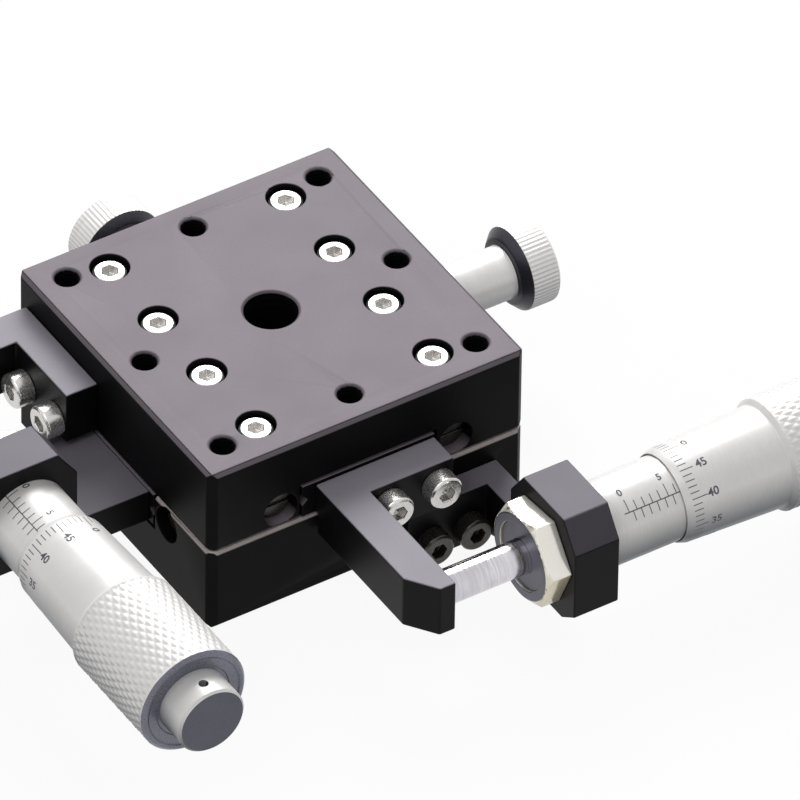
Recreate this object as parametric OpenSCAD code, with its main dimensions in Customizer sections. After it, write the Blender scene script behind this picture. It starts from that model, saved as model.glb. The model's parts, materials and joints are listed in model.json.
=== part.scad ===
// Two-axis manual linear stage with crossed-roller ways and side micrometers.
// Origin: centre of the base's underside. +X runs out along the X micrometer, +Z is up.

/* [Stage] */
// Side of the square base and table
stage_w = 40; // [38:0.5:60]
// Height from the underside to the table top
stage_h = 22; // [21.6:0.1:26]
// Gap between the base and the table
mid_gap = 0.3; // [0.2:0.05:0.6]
// Bevel on the upright corners of base and table
corner_bevel = 0.9; // [0.3:0.1:2]
// Bevel on the long edges of base and table
edge_bevel = 0.5; // [0.2:0.1:1]
// Travel to each side of the middle
travel = 6.5; // [2:0.5:6.5]

/* [Ways] */
// Distance from the centre line to the seat wall of a rail
rail_seat = 13; // [12.5:0.1:14]
// Width of a rail
rail_w = 3.9; // [3.7:0.1:4.2]
// Height of a rail
rail_h = 4; // [3.8:0.1:4.2]
// Distance from a rail's end to the stage's side
rail_end = 2; // [2:0.1:4]
// Distance from a rail's end to its first screw
rail_screw_end = 3; // [3:0.1:4]
// Gap between a rail and the carriage
way_gap = 0.7; // [0.6:0.05:0.9]
// Diameter of a roller
roller_d = 1.44; // [1.3:0.02:1.46]
// Width of the square that cuts a vee groove
vee_side = 1.5; // [1.5:0.02:1.6]
// Distance between rollers
roller_pitch = 2.5; // [2.3:0.1:2.8]
// Rollers in one cage
roller_count = 10; // [4:1:10]

/* [Holes] */
// Distance from a corner hole's axis to the stage's side
hole_edge = 4; // [3.8:0.1:5]
// Width of a small tapped hole
tap_d = 2.7; // [2.4:0.1:3]
// Metal left under a small tapped hole
tap_skin = 0.7; // [0.5:0.1:2]
// Width of the tapped hole in the middle of the table
centre_tap_d = 5.9; // [5:0.1:6.5]
// Width of a clearance hole in the base
base_hole_d = 3.4; // [3.2:0.1:3.6]
// Width of the counterbore in the base
base_bore_d = 5.6; // [5.4:0.1:5.7]
// Depth of the counterbore in the base
base_bore_depth = 3.4; // [3:0.2:6]

/* [Drive arms] */
// Width of an arm's bar
arm_bar_w = 4; // [3.6:0.1:4.2]
// Height of an arm
arm_h = 6.65; // [6.2:0.05:6.65]
// Width of an arm's leg
arm_leg_w = 4.5; // [4:0.1:5]
// How far the leg reaches past the micrometer's axis
arm_tip = 3.1; // [2.4:0.1:4]
// Inner face of the X arm's leg
x_arm_face = -2.24; // [-3:0.02:-2]
// End of the X arm's bar
x_arm_end = 8.3; // [8:0.1:8.3]
// Gap between the X arm and the table's plate
x_arm_gap = 0.76; // [0.6:0.02:0.8]
// Inner face of the Y arm's leg
y_arm_face = 13.4; // [12.5:0.1:14]
// End of the Y arm's bar
y_arm_end = 3.05; // [2.5:0.05:3.2]
// Height of the Y arm's underside over the table's lower edge
y_arm_lift = 0.45; // [0.4:0.05:0.8]

/* [Micrometers] */
// Distance from the stage's side to the X micrometer's axis
x_mic_reach = 18.1; // [17.6:0.1:19]
// Distance from the stage's side to the Y micrometer's axis
y_mic_reach = 15.9; // [15.9:0.1:17]
// Outer face of the X bracket's block
x_block_face = 16.3; // [16:0.1:17]
// Outer face of the Y bracket's block
y_block_face = -8.2; // [-8.4:0.1:-7.8]
// Thickness of a bracket's block
block_t = 5.65; // [5.2:0.05:5.8]
// Width of a bracket's block
block_w = 13; // [12:0.2:13]
// Height of a bracket's block
block_h = 14; // [12.5:0.2:14]
// Sleeve length that shows on the X micrometer at rest
x_shown = 9.6; // [7:0.1:9.8]
// Sleeve length that shows on the Y micrometer at rest
y_shown = 6.8; // [6.8:0.1:9.8]
// Width of the spindle
spindle_d = 4; // [3.6:0.1:4.2]
// Wall of the thimble at its front edge
thimble_edge_t = 0.4; // [0.35:0.05:0.6]
// Width of the thimble at its front edge
thimble_front_d = 10.8; // [10.7:0.05:11]
// Width that the thimble gains from its front to its grip
thimble_taper = 1; // [0.6:0.1:1.4]
// Width that the grip gains over the thimble
grip_step = 1.2; // [0.9:0.1:1.3]
// Length of the thimble
thimble_len = 27.6; // [26.6:0.2:30]
// Length of the knurled grip
grip_len = 14.7; // [12:0.1:15]
// Width of the end cap
cap_d = 8.1; // [7:0.1:9]
// Length of the end cap
cap_len = 3.6; // [3:0.1:5]
// Size across the flats of the clamping nut
nut_flats = 10.5; // [10:0.1:10.8]
// Thickness of the clamping nut
nut_t = 2.85; // [2.4:0.05:3]

/* [Lock knobs] */
// Distance from a channel's plate to the lock knob's axis
lock_drop = 1.9; // [1.7:0.1:1.9]
// Width of a knob's neck
neck_d = 6.2; // [5:0.1:7]
// Length of a knob's neck
neck_len = 9.5; // [6:0.1:12]
// Width of a knob's head
knob_d = 9.8; // [8:0.1:10.4]
// Length of a knob's head
knob_len = 4.8; // [4:0.1:6]

/* [Hidden] */
$fn = 48;

over = 0.5;
hex_sides = 6;
hex_ratio = 1 / cos(180 / hex_sides);
half_w = stage_w / 2;
mid_z = stage_h / 2;
fit_gap = 0.05;
face_gap = 0.03;
slide_gap = 0.25;

leg_top = mid_z - mid_gap / 2;
leg_bottom = mid_z + mid_gap / 2;
seat_step = 0.4;
rail_clear = 0.25;
plate_t = leg_top - rail_clear - rail_h - seat_step;
floor_z = plate_t;
ceiling_z = stage_h - plate_t;
leg_t = half_w - rail_seat;
rail_len = stage_w - 2 * rail_end;
hole_pitch = stage_w - 2 * hole_edge;
tap_depth = plate_t - tap_skin;
rail_base_z = floor_z + seat_step;
rail_roof_z = ceiling_z - seat_step;
rail_x = rail_seat - rail_w / 2;
rail_inner = rail_seat - rail_w;
carriage_half = rail_inner - way_gap;
channel_half = carriage_half + slide_gap;
end_room = 0.15;
pocket_half = rail_len / 2 + end_room;
x_way_z = rail_base_z + rail_h / 2;
y_way_z = rail_roof_z - rail_h / 2;
way_x = rail_inner - way_gap / 2;
roller_len = 1.36;
cage_t = 0.3;
cage_h = 3;
window_w = 1.7;
window_h = 2.2;
cage_margin = 0.95;
cage_len = roller_count * roller_pitch + 2 * cage_margin;

rail_screw_count = 4;
rail_screw_pitch = (rail_len - 2 * rail_screw_end) / (rail_screw_count - 1);

// Machine screws: head width, head height, shank width, socket width, in that order
m2_head_d = 3.8;
m2_head_h = 2;
m2_d = 1.9;
m2_socket = 1.7;
m2_hole_d = m2_d + 2 * fit_gap;
m2_clear_d = 2.3;
arm_head_d = 4;
arm_head_h = 2.2;
socket_depth = 1.1;
screw_bevel = 0.25;
rail_bore_d = 4.4;
rail_bore_depth = 2.5;
rail_screw_reach = 3;
table_screw_len = stage_h - rail_bore_depth - rail_roof_z + rail_screw_reach;
base_screw_len = rail_base_z - rail_bore_depth + rail_screw_reach;
rail_screw_offset = 0.15;
rail_screw_x = rail_x + rail_screw_offset;
end_screw_d = 3.6;
end_screw_h = 0.7;
end_screw_shank = 1.5;
end_screw_len = 1.8;
end_hole_d = 4.2;
slot_w = 0.5;
slot_depth = 0.35;

tap_bevel = 0.3;
x_arm_top = ceiling_z - x_arm_gap;
x_arm_bottom = x_arm_top - arm_h;
y_arm_bottom = leg_bottom + y_arm_lift;
y_arm_top = y_arm_bottom + arm_h;
arm_relief = 0.4;
tip_bevel_x = 2.5;
tip_bevel_y = 3.5;
x_mic_y = -half_w - x_mic_reach;
x_mic_z = x_arm_top - arm_h / 2;
y_mic_x = -half_w - y_mic_reach;
y_mic_z = y_arm_top - arm_h / 2;

arm_screw_margin = 0.1;
arm_screw_edge = arm_head_d / 2 + arm_screw_margin;
arm_screw_pitch = 6.1;
arm_screw_drop_x = 2.74;
arm_screw_drop_y = 4.6;
arm_screw_share = 0.57;
arm_screw_reach = leg_t * arm_screw_share;
arm_head_seat = -half_w - arm_bar_w;
x_arm_screw_x = x_arm_end - arm_screw_edge;
x_arm_screw_z = x_arm_top - arm_screw_drop_x;
y_arm_screw_y = y_arm_end + arm_screw_edge;
y_arm_screw_z = y_arm_top - arm_screw_drop_y;
x_arm_len = x_arm_end - x_arm_face + arm_leg_w;
y_arm_len = y_arm_face + arm_leg_w - y_arm_end;

block_top_bevel_w = 2.45;
block_top_bevel_h = 3.5;
block_low_bevel_w = 2.45;
block_low_bevel_h = 1.75;
stem_share = 0.8;
stem_d = (thimble_front_d - 2 * thimble_edge_t) * stem_share;
stem_bore_d = stem_d + 2 * fit_gap;
stem_recess = 0.3;

x_flange_left = 3.4;
x_flange_t = 2.9;
x_flange_bottom = 0.6;
arm_clearance = 0.3;
x_flange_top = x_arm_bottom - arm_clearance;
x_web_t = 3;
web_room = 0.2;
x_web_bend = travel + web_room;
x_web_rise = 3;
bracket_screw_share = 0.64;
bracket_screw_reach = leg_t * bracket_screw_share;
x_bracket_screw_z = 3.1;
x_bracket_screw_1 = 6.1;
x_bracket_screw_2 = 11;

y_foot_front = -7.6;
y_foot_rear = 8.1;
foot_room = 0.7;
y_foot_reach = travel + foot_room;
foot_lift = 0.5;
y_foot_bottom = floor_z + foot_lift;
y_foot_top = leg_top;
y_bracket_screw_drop = 2.05;
y_bracket_screw_z = leg_top - y_bracket_screw_drop;
y_bracket_screw_1 = 1.4;
y_bracket_screw_2 = 5.9;
y_neck_reach = 2.5;

guide_len = 6;
sleeve_len = 20;
sleeve_bore_share = 0.75;
sleeve_bore_d = stem_d * sleeve_bore_share;
feed_nut_len = 5;
lead_share = 0.6;
lead_d = sleeve_bore_d * lead_share;
spindle_rear = 2;
thimble_room = 0.2;
thimble_bore_d = thimble_front_d - 2 * thimble_edge_t;
thimble_rear_d = thimble_front_d + thimble_taper;
grip_d = thimble_rear_d + grip_step;
sleeve_d = thimble_bore_d - thimble_room;
thimble_lip = 0.8;
lip_step = 0.24;
thimble_lip_d = thimble_bore_d + lip_step;
end_wall = 6;
grip_bevel = 0.55;
grip_end_bevel = 0.4;
end_ring_d = 9.1;
end_ring_depth = 0.4;
cap_bevel = 0.25;
cap_hole_d = 1.1;
cap_hole_depth = 1.4;
cap_bore_depth = 2;
nut_bevel = 0.9;
nut_washer_step = 0.1;
nut_turn = 23;
spindle_bevel = 0.25;

lock_d = 3;
lock_pad_len = 1.5;
y_lock_z = ceiling_z - lock_drop;
x_lock_z = floor_z + lock_drop;
knob_gap = 0.3;
knob_back_bevel = 1;
knob_front_bevel = 0.45;
knob_dish = 0.3;
knob_dish_d = 8;

slot_half = 1.9;
spring_anchor = -11;
spring_far = 12.5;
slot_blind = 2;
slot_len = half_w - spring_anchor + slot_blind + over;
pin_d = 1.2;
pin_seat = 1;
pin_room = 0.4;
spring_wire = 0.3;
spring_r = 1;
spring_turns = 16;
hook_r = 0.9;
hook_from = 330;
hook_join = 90;
hook_to = -150;
hook_straight = 1.2;
rings_per_turn = 8;
hook_rings = 7;
tube_sides = 6;
spring_drop = 1.9;
x_spring_z = floor_z + spring_drop;
y_spring_z = ceiling_z - spring_drop;

echo(spring_self_gap = (spring_far - spring_anchor - 2 * hook_straight) / spring_turns - spring_wire);

// Rectangle with its corners cut off, centred in x and standing on y = 0
module cut_rectangle(w, h, bottom_x, bottom_y, top_x, top_y)
    polygon([
        [-w / 2 + bottom_x, 0], [w / 2 - bottom_x, 0], [w / 2, bottom_y], [w / 2, h - top_y],
        [w / 2 - top_x, h], [-w / 2 + top_x, h], [-w / 2, h - top_y], [-w / 2, bottom_y]
    ]);

// Square slab of the stage with bevelled upright corners and bevelled long edges
module slab(h, low_bevel, high_bevel)
    intersection() {
        linear_extrude(h)
            translate([0, -half_w])
                cut_rectangle(stage_w, stage_w, corner_bevel, corner_bevel, corner_bevel, corner_bevel);
        translate([0, half_w, 0])
            rotate([90, 0, 0])
                linear_extrude(stage_w)
                    cut_rectangle(stage_w, h, low_bevel, low_bevel, high_bevel, high_bevel);
        translate([-half_w, 0, 0])
            rotate([90, 0, 90])
                linear_extrude(stage_w)
                    cut_rectangle(stage_w, h, low_bevel, low_bevel, high_bevel, high_bevel);
    }

// Round hole that goes down from its mouth, with a small bevel there
module tapped_hole(d, depth) {
    translate([0, 0, -depth])
        cylinder(d = d, h = depth + over);
    translate([0, 0, -tap_bevel])
        cylinder(d1 = d, d2 = d + 2 * tap_bevel, h = tap_bevel);
    cylinder(d = d + 2 * tap_bevel, h = over);
}

// Socket head screw standing on z = 0, its shank pointing down
module cap_screw(head_d, head_h, shank_d, socket, reach) {
    difference() {
        union() {
            cylinder(d = head_d, h = head_h - screw_bevel);
            translate([0, 0, head_h - screw_bevel])
                cylinder(d1 = head_d, d2 = head_d - 2 * screw_bevel, h = screw_bevel);
        }
        translate([0, 0, head_h - socket_depth])
            cylinder(d = socket * hex_ratio, h = socket_depth + over, $fn = hex_sides);
    }
    translate([0, 0, -reach])
        cylinder(d = shank_d, h = reach);
}

// Slotted screw for the end of a rail, its head lying along +Z from z = 0
module stop_screw() {
    difference() {
        cylinder(d = end_screw_d, h = end_screw_h);
        translate([-end_screw_d / 2 - over, -slot_w / 2, end_screw_h - slot_depth])
            cube([end_screw_d + 2 * over, slot_w, slot_depth + over]);
    }
    translate([0, 0, -end_screw_len])
        cylinder(d = end_screw_shank, h = end_screw_len);
}

// Square prism on its edge along Y, which cuts a vee groove
module vee_cutter(length)
    rotate([0, 45, 0])
        cube([vee_side, length, vee_side], center = true);

// Places its child at the four rail screws of one rail, along Y
module at_rail_screws()
    for (index = [0:rail_screw_count - 1])
        translate([0, (index - (rail_screw_count - 1) / 2) * rail_screw_pitch, 0])
            children();

// Places its child at the corners of the hole pattern
module at_corners()
    for (side_x = [-1, 1], side_y = [-1, 1])
        translate([side_x * hole_pitch / 2, side_y * hole_pitch / 2, 0])
            children();

// Channel of the table, with the ways along Y, as one solid to take away
module channel(gate_z, seat_z, deep_z) {
    translate([-channel_half, -half_w - over, gate_z])
        cube([2 * channel_half, stage_w + 2 * over, deep_z - gate_z]);
    translate([-rail_seat, -pocket_half, gate_z])
        cube([2 * rail_seat, 2 * pocket_half, seat_z - gate_z]);
}

module table() color("dimgray")
    difference() {
        translate([0, 0, leg_bottom])
            slab(stage_h - leg_bottom, mid_gap, edge_bevel);
        translate([0, 0, leg_bottom - over])
            channel(0, rail_roof_z - leg_bottom + over, ceiling_z - leg_bottom + over);
        translate([0, 0, stage_h]) {
            at_corners()
                tapped_hole(tap_d, tap_depth);
            for (turn = [0:90:270])
                rotate([0, 0, turn])
                    translate([hole_pitch / 2, 0, 0])
                        tapped_hole(tap_d, tap_depth);
            tapped_hole(centre_tap_d, plate_t + over);
            for (side = [-1, 1])
                translate([side * rail_screw_x, 0, 0])
                    at_rail_screws() {
                        translate([0, 0, -rail_bore_depth])
                            cylinder(d = rail_bore_d, h = rail_bore_depth + over);
                        translate([0, 0, -stage_h + rail_roof_z - over])
                            cylinder(d = m2_clear_d, h = stage_h - rail_roof_z);
                    }
        }
        for (side = [-1, 1])
            translate([side * rail_x, half_w + over, y_way_z])
                rotate([90, 0, 0])
                    cylinder(d = end_hole_d, h = stage_w + 2 * over);
        translate([rail_seat - over, 0, y_lock_z])
            rotate([0, 90, 0])
                cylinder(d = lock_d, h = half_w - rail_seat + 2 * over);
        for (index = [0, 1])
            translate([-half_w - over, y_arm_screw_y + index * arm_screw_pitch, y_arm_screw_z])
                rotate([0, 90, 0])
                    cylinder(d = m2_hole_d, h = arm_screw_reach + 2 * over);
        translate([0, spring_far, ceiling_z - over])
            cylinder(d = pin_d, h = pin_seat + over);
    }

module base() color("dimgray")
    difference() {
        slab(leg_top, edge_bevel, mid_gap);
        translate([0, 0, leg_top + over])
            mirror([0, 0, 1])
                rotate([0, 0, 90])
                    channel(0, leg_top - rail_base_z + over, leg_top - floor_z + over);
        at_corners() {
            translate([0, 0, -over])
                cylinder(d = base_hole_d, h = leg_top + 2 * over);
            translate([0, 0, leg_top - base_bore_depth])
                cylinder(d = base_bore_d, h = base_bore_depth + over);
        }
        for (side = [-1, 1])
            translate([0, side * rail_screw_x, 0])
                rotate([0, 0, 90])
                    at_rail_screws() {
                        translate([0, 0, -over])
                            cylinder(d = rail_bore_d, h = rail_bore_depth + over);
                        cylinder(d = m2_clear_d, h = rail_base_z + over);
                    }
        for (side = [-1, 1])
            translate([-half_w - over, side * rail_x, x_way_z])
                rotate([0, 90, 0])
                    cylinder(d = end_hole_d, h = stage_w + 2 * over);
        translate([0, half_w + over, x_lock_z])
            rotate([90, 0, 0])
                cylinder(d = lock_d, h = half_w - rail_seat + 2 * over);
        for (x = [x_bracket_screw_1, x_bracket_screw_2])
            translate([x, -half_w - over, x_bracket_screw_z])
                rotate([-90, 0, 0])
                    cylinder(d = m2_hole_d, h = bracket_screw_reach + 2 * over);
        translate([spring_far, 0, floor_z - pin_seat])
            cylinder(d = pin_d, h = pin_seat + over);
    }

// One rib of the carriage, along Y, from its low face to its high face
module rib(low_z, high_z)
    translate([-carriage_half, -half_w, low_z])
        cube([2 * carriage_half, stage_w, high_z - low_z]);

module carriage() color("dimgray")
    difference() {
        union() {
            rib(leg_bottom, rail_roof_z);
            rotate([0, 0, 90])
                rib(rail_base_z, leg_top);
            translate([-carriage_half, -carriage_half, leg_top - over])
                cube([2 * carriage_half, 2 * carriage_half, mid_gap + 2 * over]);
        }
        for (side = [-1, 1]) {
            translate([side * way_x, 0, y_way_z])
                vee_cutter(stage_w + 2 * over);
            translate([0, side * way_x, x_way_z])
                rotate([0, 0, 90])
                    vee_cutter(stage_w + 2 * over);
        }
        translate([-slot_half, spring_anchor - slot_blind, y_spring_z - slot_half + pin_room])
            cube([2 * slot_half, slot_len, stage_h]);
        translate([spring_anchor - slot_blind, -slot_half, 0])
            cube([slot_len, 2 * slot_half, x_spring_z + slot_half - pin_room]);
        translate([0, spring_anchor, y_spring_z - slot_half + pin_room - pin_seat])
            cylinder(d = pin_d, h = pin_seat + over);
        translate([spring_anchor, 0, x_spring_z + slot_half - pin_room - over])
            cylinder(d = pin_d, h = pin_seat + over);
        for (index = [0, 1])
            translate([x_arm_screw_x - index * arm_screw_pitch, -half_w - over, x_arm_screw_z])
                rotate([-90, 0, 0])
                    cylinder(d = m2_hole_d, h = arm_screw_reach + 2 * over);
        for (y = [y_bracket_screw_1, y_bracket_screw_2])
            translate([-half_w - over, y, y_bracket_screw_z])
                rotate([0, 90, 0])
                    cylinder(d = m2_hole_d, h = bracket_screw_reach + 2 * over);
    }

// Hardened rail along Y on the +X side, standing on z = 0
module rail()
    difference() {
        translate([rail_inner, -rail_len / 2, 0])
            cube([rail_w, rail_len, rail_h]);
        translate([way_x, 0, rail_h / 2])
            vee_cutter(rail_len + 2 * over);
        translate([rail_screw_x, 0, -over])
            at_rail_screws()
                cylinder(d = m2_hole_d, h = rail_h + 2 * over);
        for (side = [-1, 1])
            translate([rail_x, side * (rail_len / 2 + over), rail_h / 2])
                rotate([side * 90, 0, 0])
                    cylinder(d = end_screw_shank + 2 * fit_gap, h = end_screw_len + 2 * over);
    }

module table_rail(side) color("silver")
    translate([0, 0, rail_roof_z - rail_h])
        rotate([0, 0, side > 0 ? 0 : 180])
            rail();

module base_rail(side) color("silver")
    translate([0, 0, rail_base_z])
        rotate([0, 0, side > 0 ? 90 : -90])
            rail();

module table_rail_screws() color("silver")
    for (side = [-1, 1])
        translate([side * rail_screw_x, 0, stage_h - rail_bore_depth])
            at_rail_screws()
                cap_screw(m2_head_d, m2_head_h, m2_d, m2_socket, table_screw_len);

module base_rail_screws() color("silver")
    for (side = [-1, 1])
        translate([0, side * rail_screw_x, rail_bore_depth])
            rotate([0, 0, 90])
                at_rail_screws()
                    mirror([0, 0, 1])
                        cap_screw(m2_head_d, m2_head_h, m2_d, m2_socket, base_screw_len);

// Stop screws at both ends of both rails along Y
module stop_screws(way_z)
    for (side_x = [-1, 1], side_y = [-1, 1])
        translate([side_x * rail_x, side_y * rail_len / 2, way_z])
            rotate([-side_y * 90, 0, 0])
                stop_screw();

module table_rail_end_screws() color("silver")
    stop_screws(y_way_z);

module base_rail_end_screws() color("silver")
    rotate([0, 0, 90])
        stop_screws(x_way_z);

// Flat cage along Y on the +X side, with a window for each roller
module cage()
    difference() {
        translate([way_x - cage_t / 2, -cage_len / 2, -cage_h / 2])
            cube([cage_t, cage_len, cage_h]);
        for (index = [0:roller_count - 1])
            translate([way_x, (index - (roller_count - 1) / 2) * roller_pitch, 0])
                cube([cage_t + 2 * over, window_w, window_h], center = true);
    }

// Row of rollers along Y on the +X side, crossed in turn
module rollers()
    for (index = [0:roller_count - 1])
        translate([way_x, (index - (roller_count - 1) / 2) * roller_pitch, 0])
            rotate([0, index % 2 == 0 ? 45 : -45, 0])
                cylinder(d = roller_d, h = roller_len, center = true);

module y_cage(side) color("goldenrod")
    translate([0, 0, y_way_z])
        rotate([0, 0, side > 0 ? 0 : 180])
            cage();

module x_cage(side) color("goldenrod")
    translate([0, 0, x_way_z])
        rotate([0, 0, side > 0 ? 90 : -90])
            cage();

module y_rollers() color("silver")
    translate([0, 0, y_way_z])
        for (turn = [0, 180])
            rotate([0, 0, turn])
                rollers();

module x_rollers() color("silver")
    translate([0, 0, x_way_z])
        for (turn = [90, -90])
            rotate([0, 0, turn])
                rollers();

// Eight-sided block of a bracket, its micrometer axis along +X through the origin
module bracket_block()
    rotate([90, 0, 90])
        linear_extrude(block_t)
            translate([0, -block_h / 2])
                cut_rectangle(block_w, block_h, block_low_bevel_w, block_low_bevel_h,
                    block_top_bevel_w, block_top_bevel_h);

module x_bracket() color("dimgray")
    difference() {
        union() {
            translate([x_block_face - block_t, x_mic_y, x_mic_z])
                bracket_block();
            translate([x_flange_left, -half_w - x_flange_t, x_flange_bottom])
                cube([x_block_face - x_flange_left, x_flange_t, x_flange_top - x_flange_bottom]);
            translate([x_block_face - x_web_t, 0, 0])
                rotate([90, 0, 90])
                    linear_extrude(x_web_t)
                        polygon([
                            [-half_w - x_flange_t / 2, x_flange_bottom],
                            [-half_w - x_flange_t / 2, x_flange_top],
                            [-half_w - x_web_bend, x_flange_top],
                            [x_mic_y + block_w / 2, x_mic_z + x_web_rise],
                            [x_mic_y, x_mic_z + x_web_rise],
                            [x_mic_y, x_mic_z - block_h / 2],
                            [x_mic_y + block_w / 2 - block_low_bevel_w, x_mic_z - block_h / 2]
                        ]);
        }
        translate([x_block_face - block_t - over, x_mic_y, x_mic_z])
            rotate([0, 90, 0])
                cylinder(d = stem_bore_d, h = block_t + 2 * over);
        for (x = [x_bracket_screw_1, x_bracket_screw_2])
            translate([x, -half_w + over, x_bracket_screw_z])
                rotate([90, 0, 0])
                    cylinder(d = m2_clear_d, h = x_flange_t + 2 * over);
    }

module y_bracket() color("dimgray")
    difference() {
        union() {
            translate([y_mic_x, y_block_face + block_t, y_mic_z])
                rotate([0, 0, -90])
                    bracket_block();
            translate([-half_w - y_foot_reach, y_foot_front, y_foot_bottom])
                cube([y_foot_reach, y_foot_rear - y_foot_front, y_foot_top - y_foot_bottom]);
            translate([y_mic_x + block_w / 2 - y_neck_reach, y_foot_front, y_mic_z - block_h / 2])
                cube([
                    -half_w - y_foot_reach - y_mic_x - block_w / 2 + y_neck_reach + over,
                    y_block_face + block_t - y_foot_front,
                    y_foot_top - y_mic_z + block_h / 2
                ]);
        }
        translate([y_mic_x, y_block_face - over, y_mic_z])
            rotate([-90, 0, 0])
                cylinder(d = stem_bore_d, h = block_t + 2 * over);
        for (y = [y_bracket_screw_1, y_bracket_screw_2])
            translate([-half_w - y_foot_reach - over, y, y_bracket_screw_z])
                rotate([0, 90, 0])
                    cylinder(d = m2_clear_d, h = y_foot_reach + 2 * over);
    }

module x_bracket_screws() color("silver")
    for (x = [x_bracket_screw_1, x_bracket_screw_2])
        translate([x, -half_w - x_flange_t, x_bracket_screw_z])
            rotate([90, 0, 0])
                cap_screw(arm_head_d, m2_head_h, m2_d, m2_socket, x_flange_t + bracket_screw_reach);

module y_bracket_screws() color("silver")
    for (y = [y_bracket_screw_1, y_bracket_screw_2])
        translate([-half_w - y_foot_reach, y, y_bracket_screw_z])
            rotate([0, -90, 0])
                cap_screw(m2_head_d, m2_head_h, m2_d, m2_socket, y_foot_reach + bracket_screw_reach);

// Arm in plan: a bar along the stage's side from 0 to the end, and a leg that reaches out in -Y
module arm_outline(bar_len, leg_reach)
    polygon([
        [0, 0], [bar_len, 0], [bar_len, -arm_bar_w], [arm_leg_w, -arm_bar_w],
        [arm_leg_w, -leg_reach], [tip_bevel_x, -leg_reach], [0, -leg_reach + tip_bevel_y]
    ]);

module x_arm() color("dimgray")
    difference() {
        translate([x_arm_face - arm_leg_w, -half_w, x_arm_bottom])
            linear_extrude(arm_h)
                arm_outline(x_arm_len, x_mic_reach + arm_tip);
        translate([x_arm_face - arm_leg_w - over, -half_w - arm_relief, x_arm_bottom - over])
            cube([x_arm_len + 2 * over, arm_relief + over, leg_bottom + over - x_arm_bottom]);
        for (index = [0, 1])
            translate([x_arm_screw_x - index * arm_screw_pitch, -half_w + over, x_arm_screw_z])
                rotate([90, 0, 0])
                    cylinder(d = m2_clear_d, h = arm_bar_w + 2 * over);
    }

module y_arm() color("dimgray")
    difference() {
        translate([-half_w, y_arm_face + arm_leg_w, y_arm_bottom])
            rotate([0, 0, -90])
                linear_extrude(arm_h)
                    arm_outline(y_arm_len, y_mic_reach + arm_tip);
        for (index = [0, 1])
            translate([-half_w + over, y_arm_screw_y + index * arm_screw_pitch, y_arm_screw_z])
                rotate([0, -90, 0])
                    cylinder(d = m2_clear_d, h = arm_bar_w + 2 * over);
    }

module x_arm_screws() color("silver")
    for (index = [0, 1])
        translate([x_arm_screw_x - index * arm_screw_pitch, arm_head_seat, x_arm_screw_z])
            rotate([90, 0, 0])
                cap_screw(arm_head_d, arm_head_h, m2_d, m2_socket, arm_bar_w + arm_screw_reach);

module y_arm_screws() color("silver")
    for (index = [0, 1])
        translate([arm_head_seat, y_arm_screw_y + index * arm_screw_pitch, y_arm_screw_z])
            rotate([0, -90, 0])
                cap_screw(arm_head_d, arm_head_h, m2_d, m2_socket, arm_bar_w + arm_screw_reach);

// Places its child, whose axis is +X, at the outer face of the X or the Y block
module at_x_mic()
    translate([x_block_face, x_mic_y, x_mic_z])
        children();

module at_y_mic()
    translate([y_mic_x, y_block_face, y_mic_z])
        rotate([0, 0, -90])
            children();

// Turned piece along +X, from a profile of [distance along the axis, radius] points
module turned(profile)
    rotate([0, 90, 0])
        rotate_extrude()
            polygon([for (p = profile) [p[1], p[0]]]);

module sleeve() color("gainsboro")
    difference() {
        turned([
            [-block_t - nut_t + stem_recess, 0], [-block_t - nut_t + stem_recess, stem_d / 2],
            [0, stem_d / 2], [0, sleeve_d / 2], [sleeve_len, sleeve_d / 2], [sleeve_len, 0]
        ]);
        translate([-block_t - nut_t, 0, 0])
            rotate([0, 90, 0])
                cylinder(d = spindle_d + 2 * fit_gap, h = block_t + nut_t + guide_len + over);
        translate([guide_len, 0, 0])
            rotate([0, 90, 0])
                cylinder(d = sleeve_bore_d, h = sleeve_len - guide_len + over);
    }

module feed_nut() color("goldenrod")
    translate([sleeve_len - feed_nut_len, 0, 0])
        rotate([0, 90, 0])
            difference() {
                cylinder(d = sleeve_bore_d - 2 * face_gap, h = feed_nut_len);
                translate([0, 0, -over])
                    cylinder(d = lead_d + 2 * fit_gap, h = feed_nut_len + 2 * over);
            }

module clamp_nut() color("lightgoldenrodyellow")
    difference() {
        intersection() {
            translate([-block_t - nut_t, 0, 0])
                rotate([0, 90, 0])
                    rotate([0, 0, nut_turn])
                        cylinder(d = nut_flats * hex_ratio, h = nut_t, $fn = hex_sides);
            turned([
                [-block_t - nut_t, 0], [-block_t - nut_t, nut_flats / 2 - nut_washer_step],
                [-block_t - nut_t + nut_bevel, nut_flats * hex_ratio / 2 + over],
                [-block_t + over, nut_flats * hex_ratio / 2 + over], [-block_t + over, 0]
            ]);
        }
        translate([-block_t - nut_t - over, 0, 0])
            rotate([0, 90, 0])
                cylinder(d = stem_bore_d, h = nut_t + 2 * over);
    }

// Spindle from the arm's face, which lies at the distance tip, to its rear end
module spindle(tip) color("silver")
    turned([
        [tip + face_gap, 0], [tip + face_gap, spindle_d / 2 - spindle_bevel],
        [tip + face_gap + spindle_bevel, spindle_d / 2], [spindle_rear, spindle_d / 2], [spindle_rear, 0]
    ]);

module lead_screw(shown) color("silver")
    translate([spindle_rear + fit_gap, 0, 0])
        rotate([0, 90, 0])
            cylinder(d = lead_d, h = shown + thimble_len + cap_bore_depth - spindle_rear - 2 * fit_gap);

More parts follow.
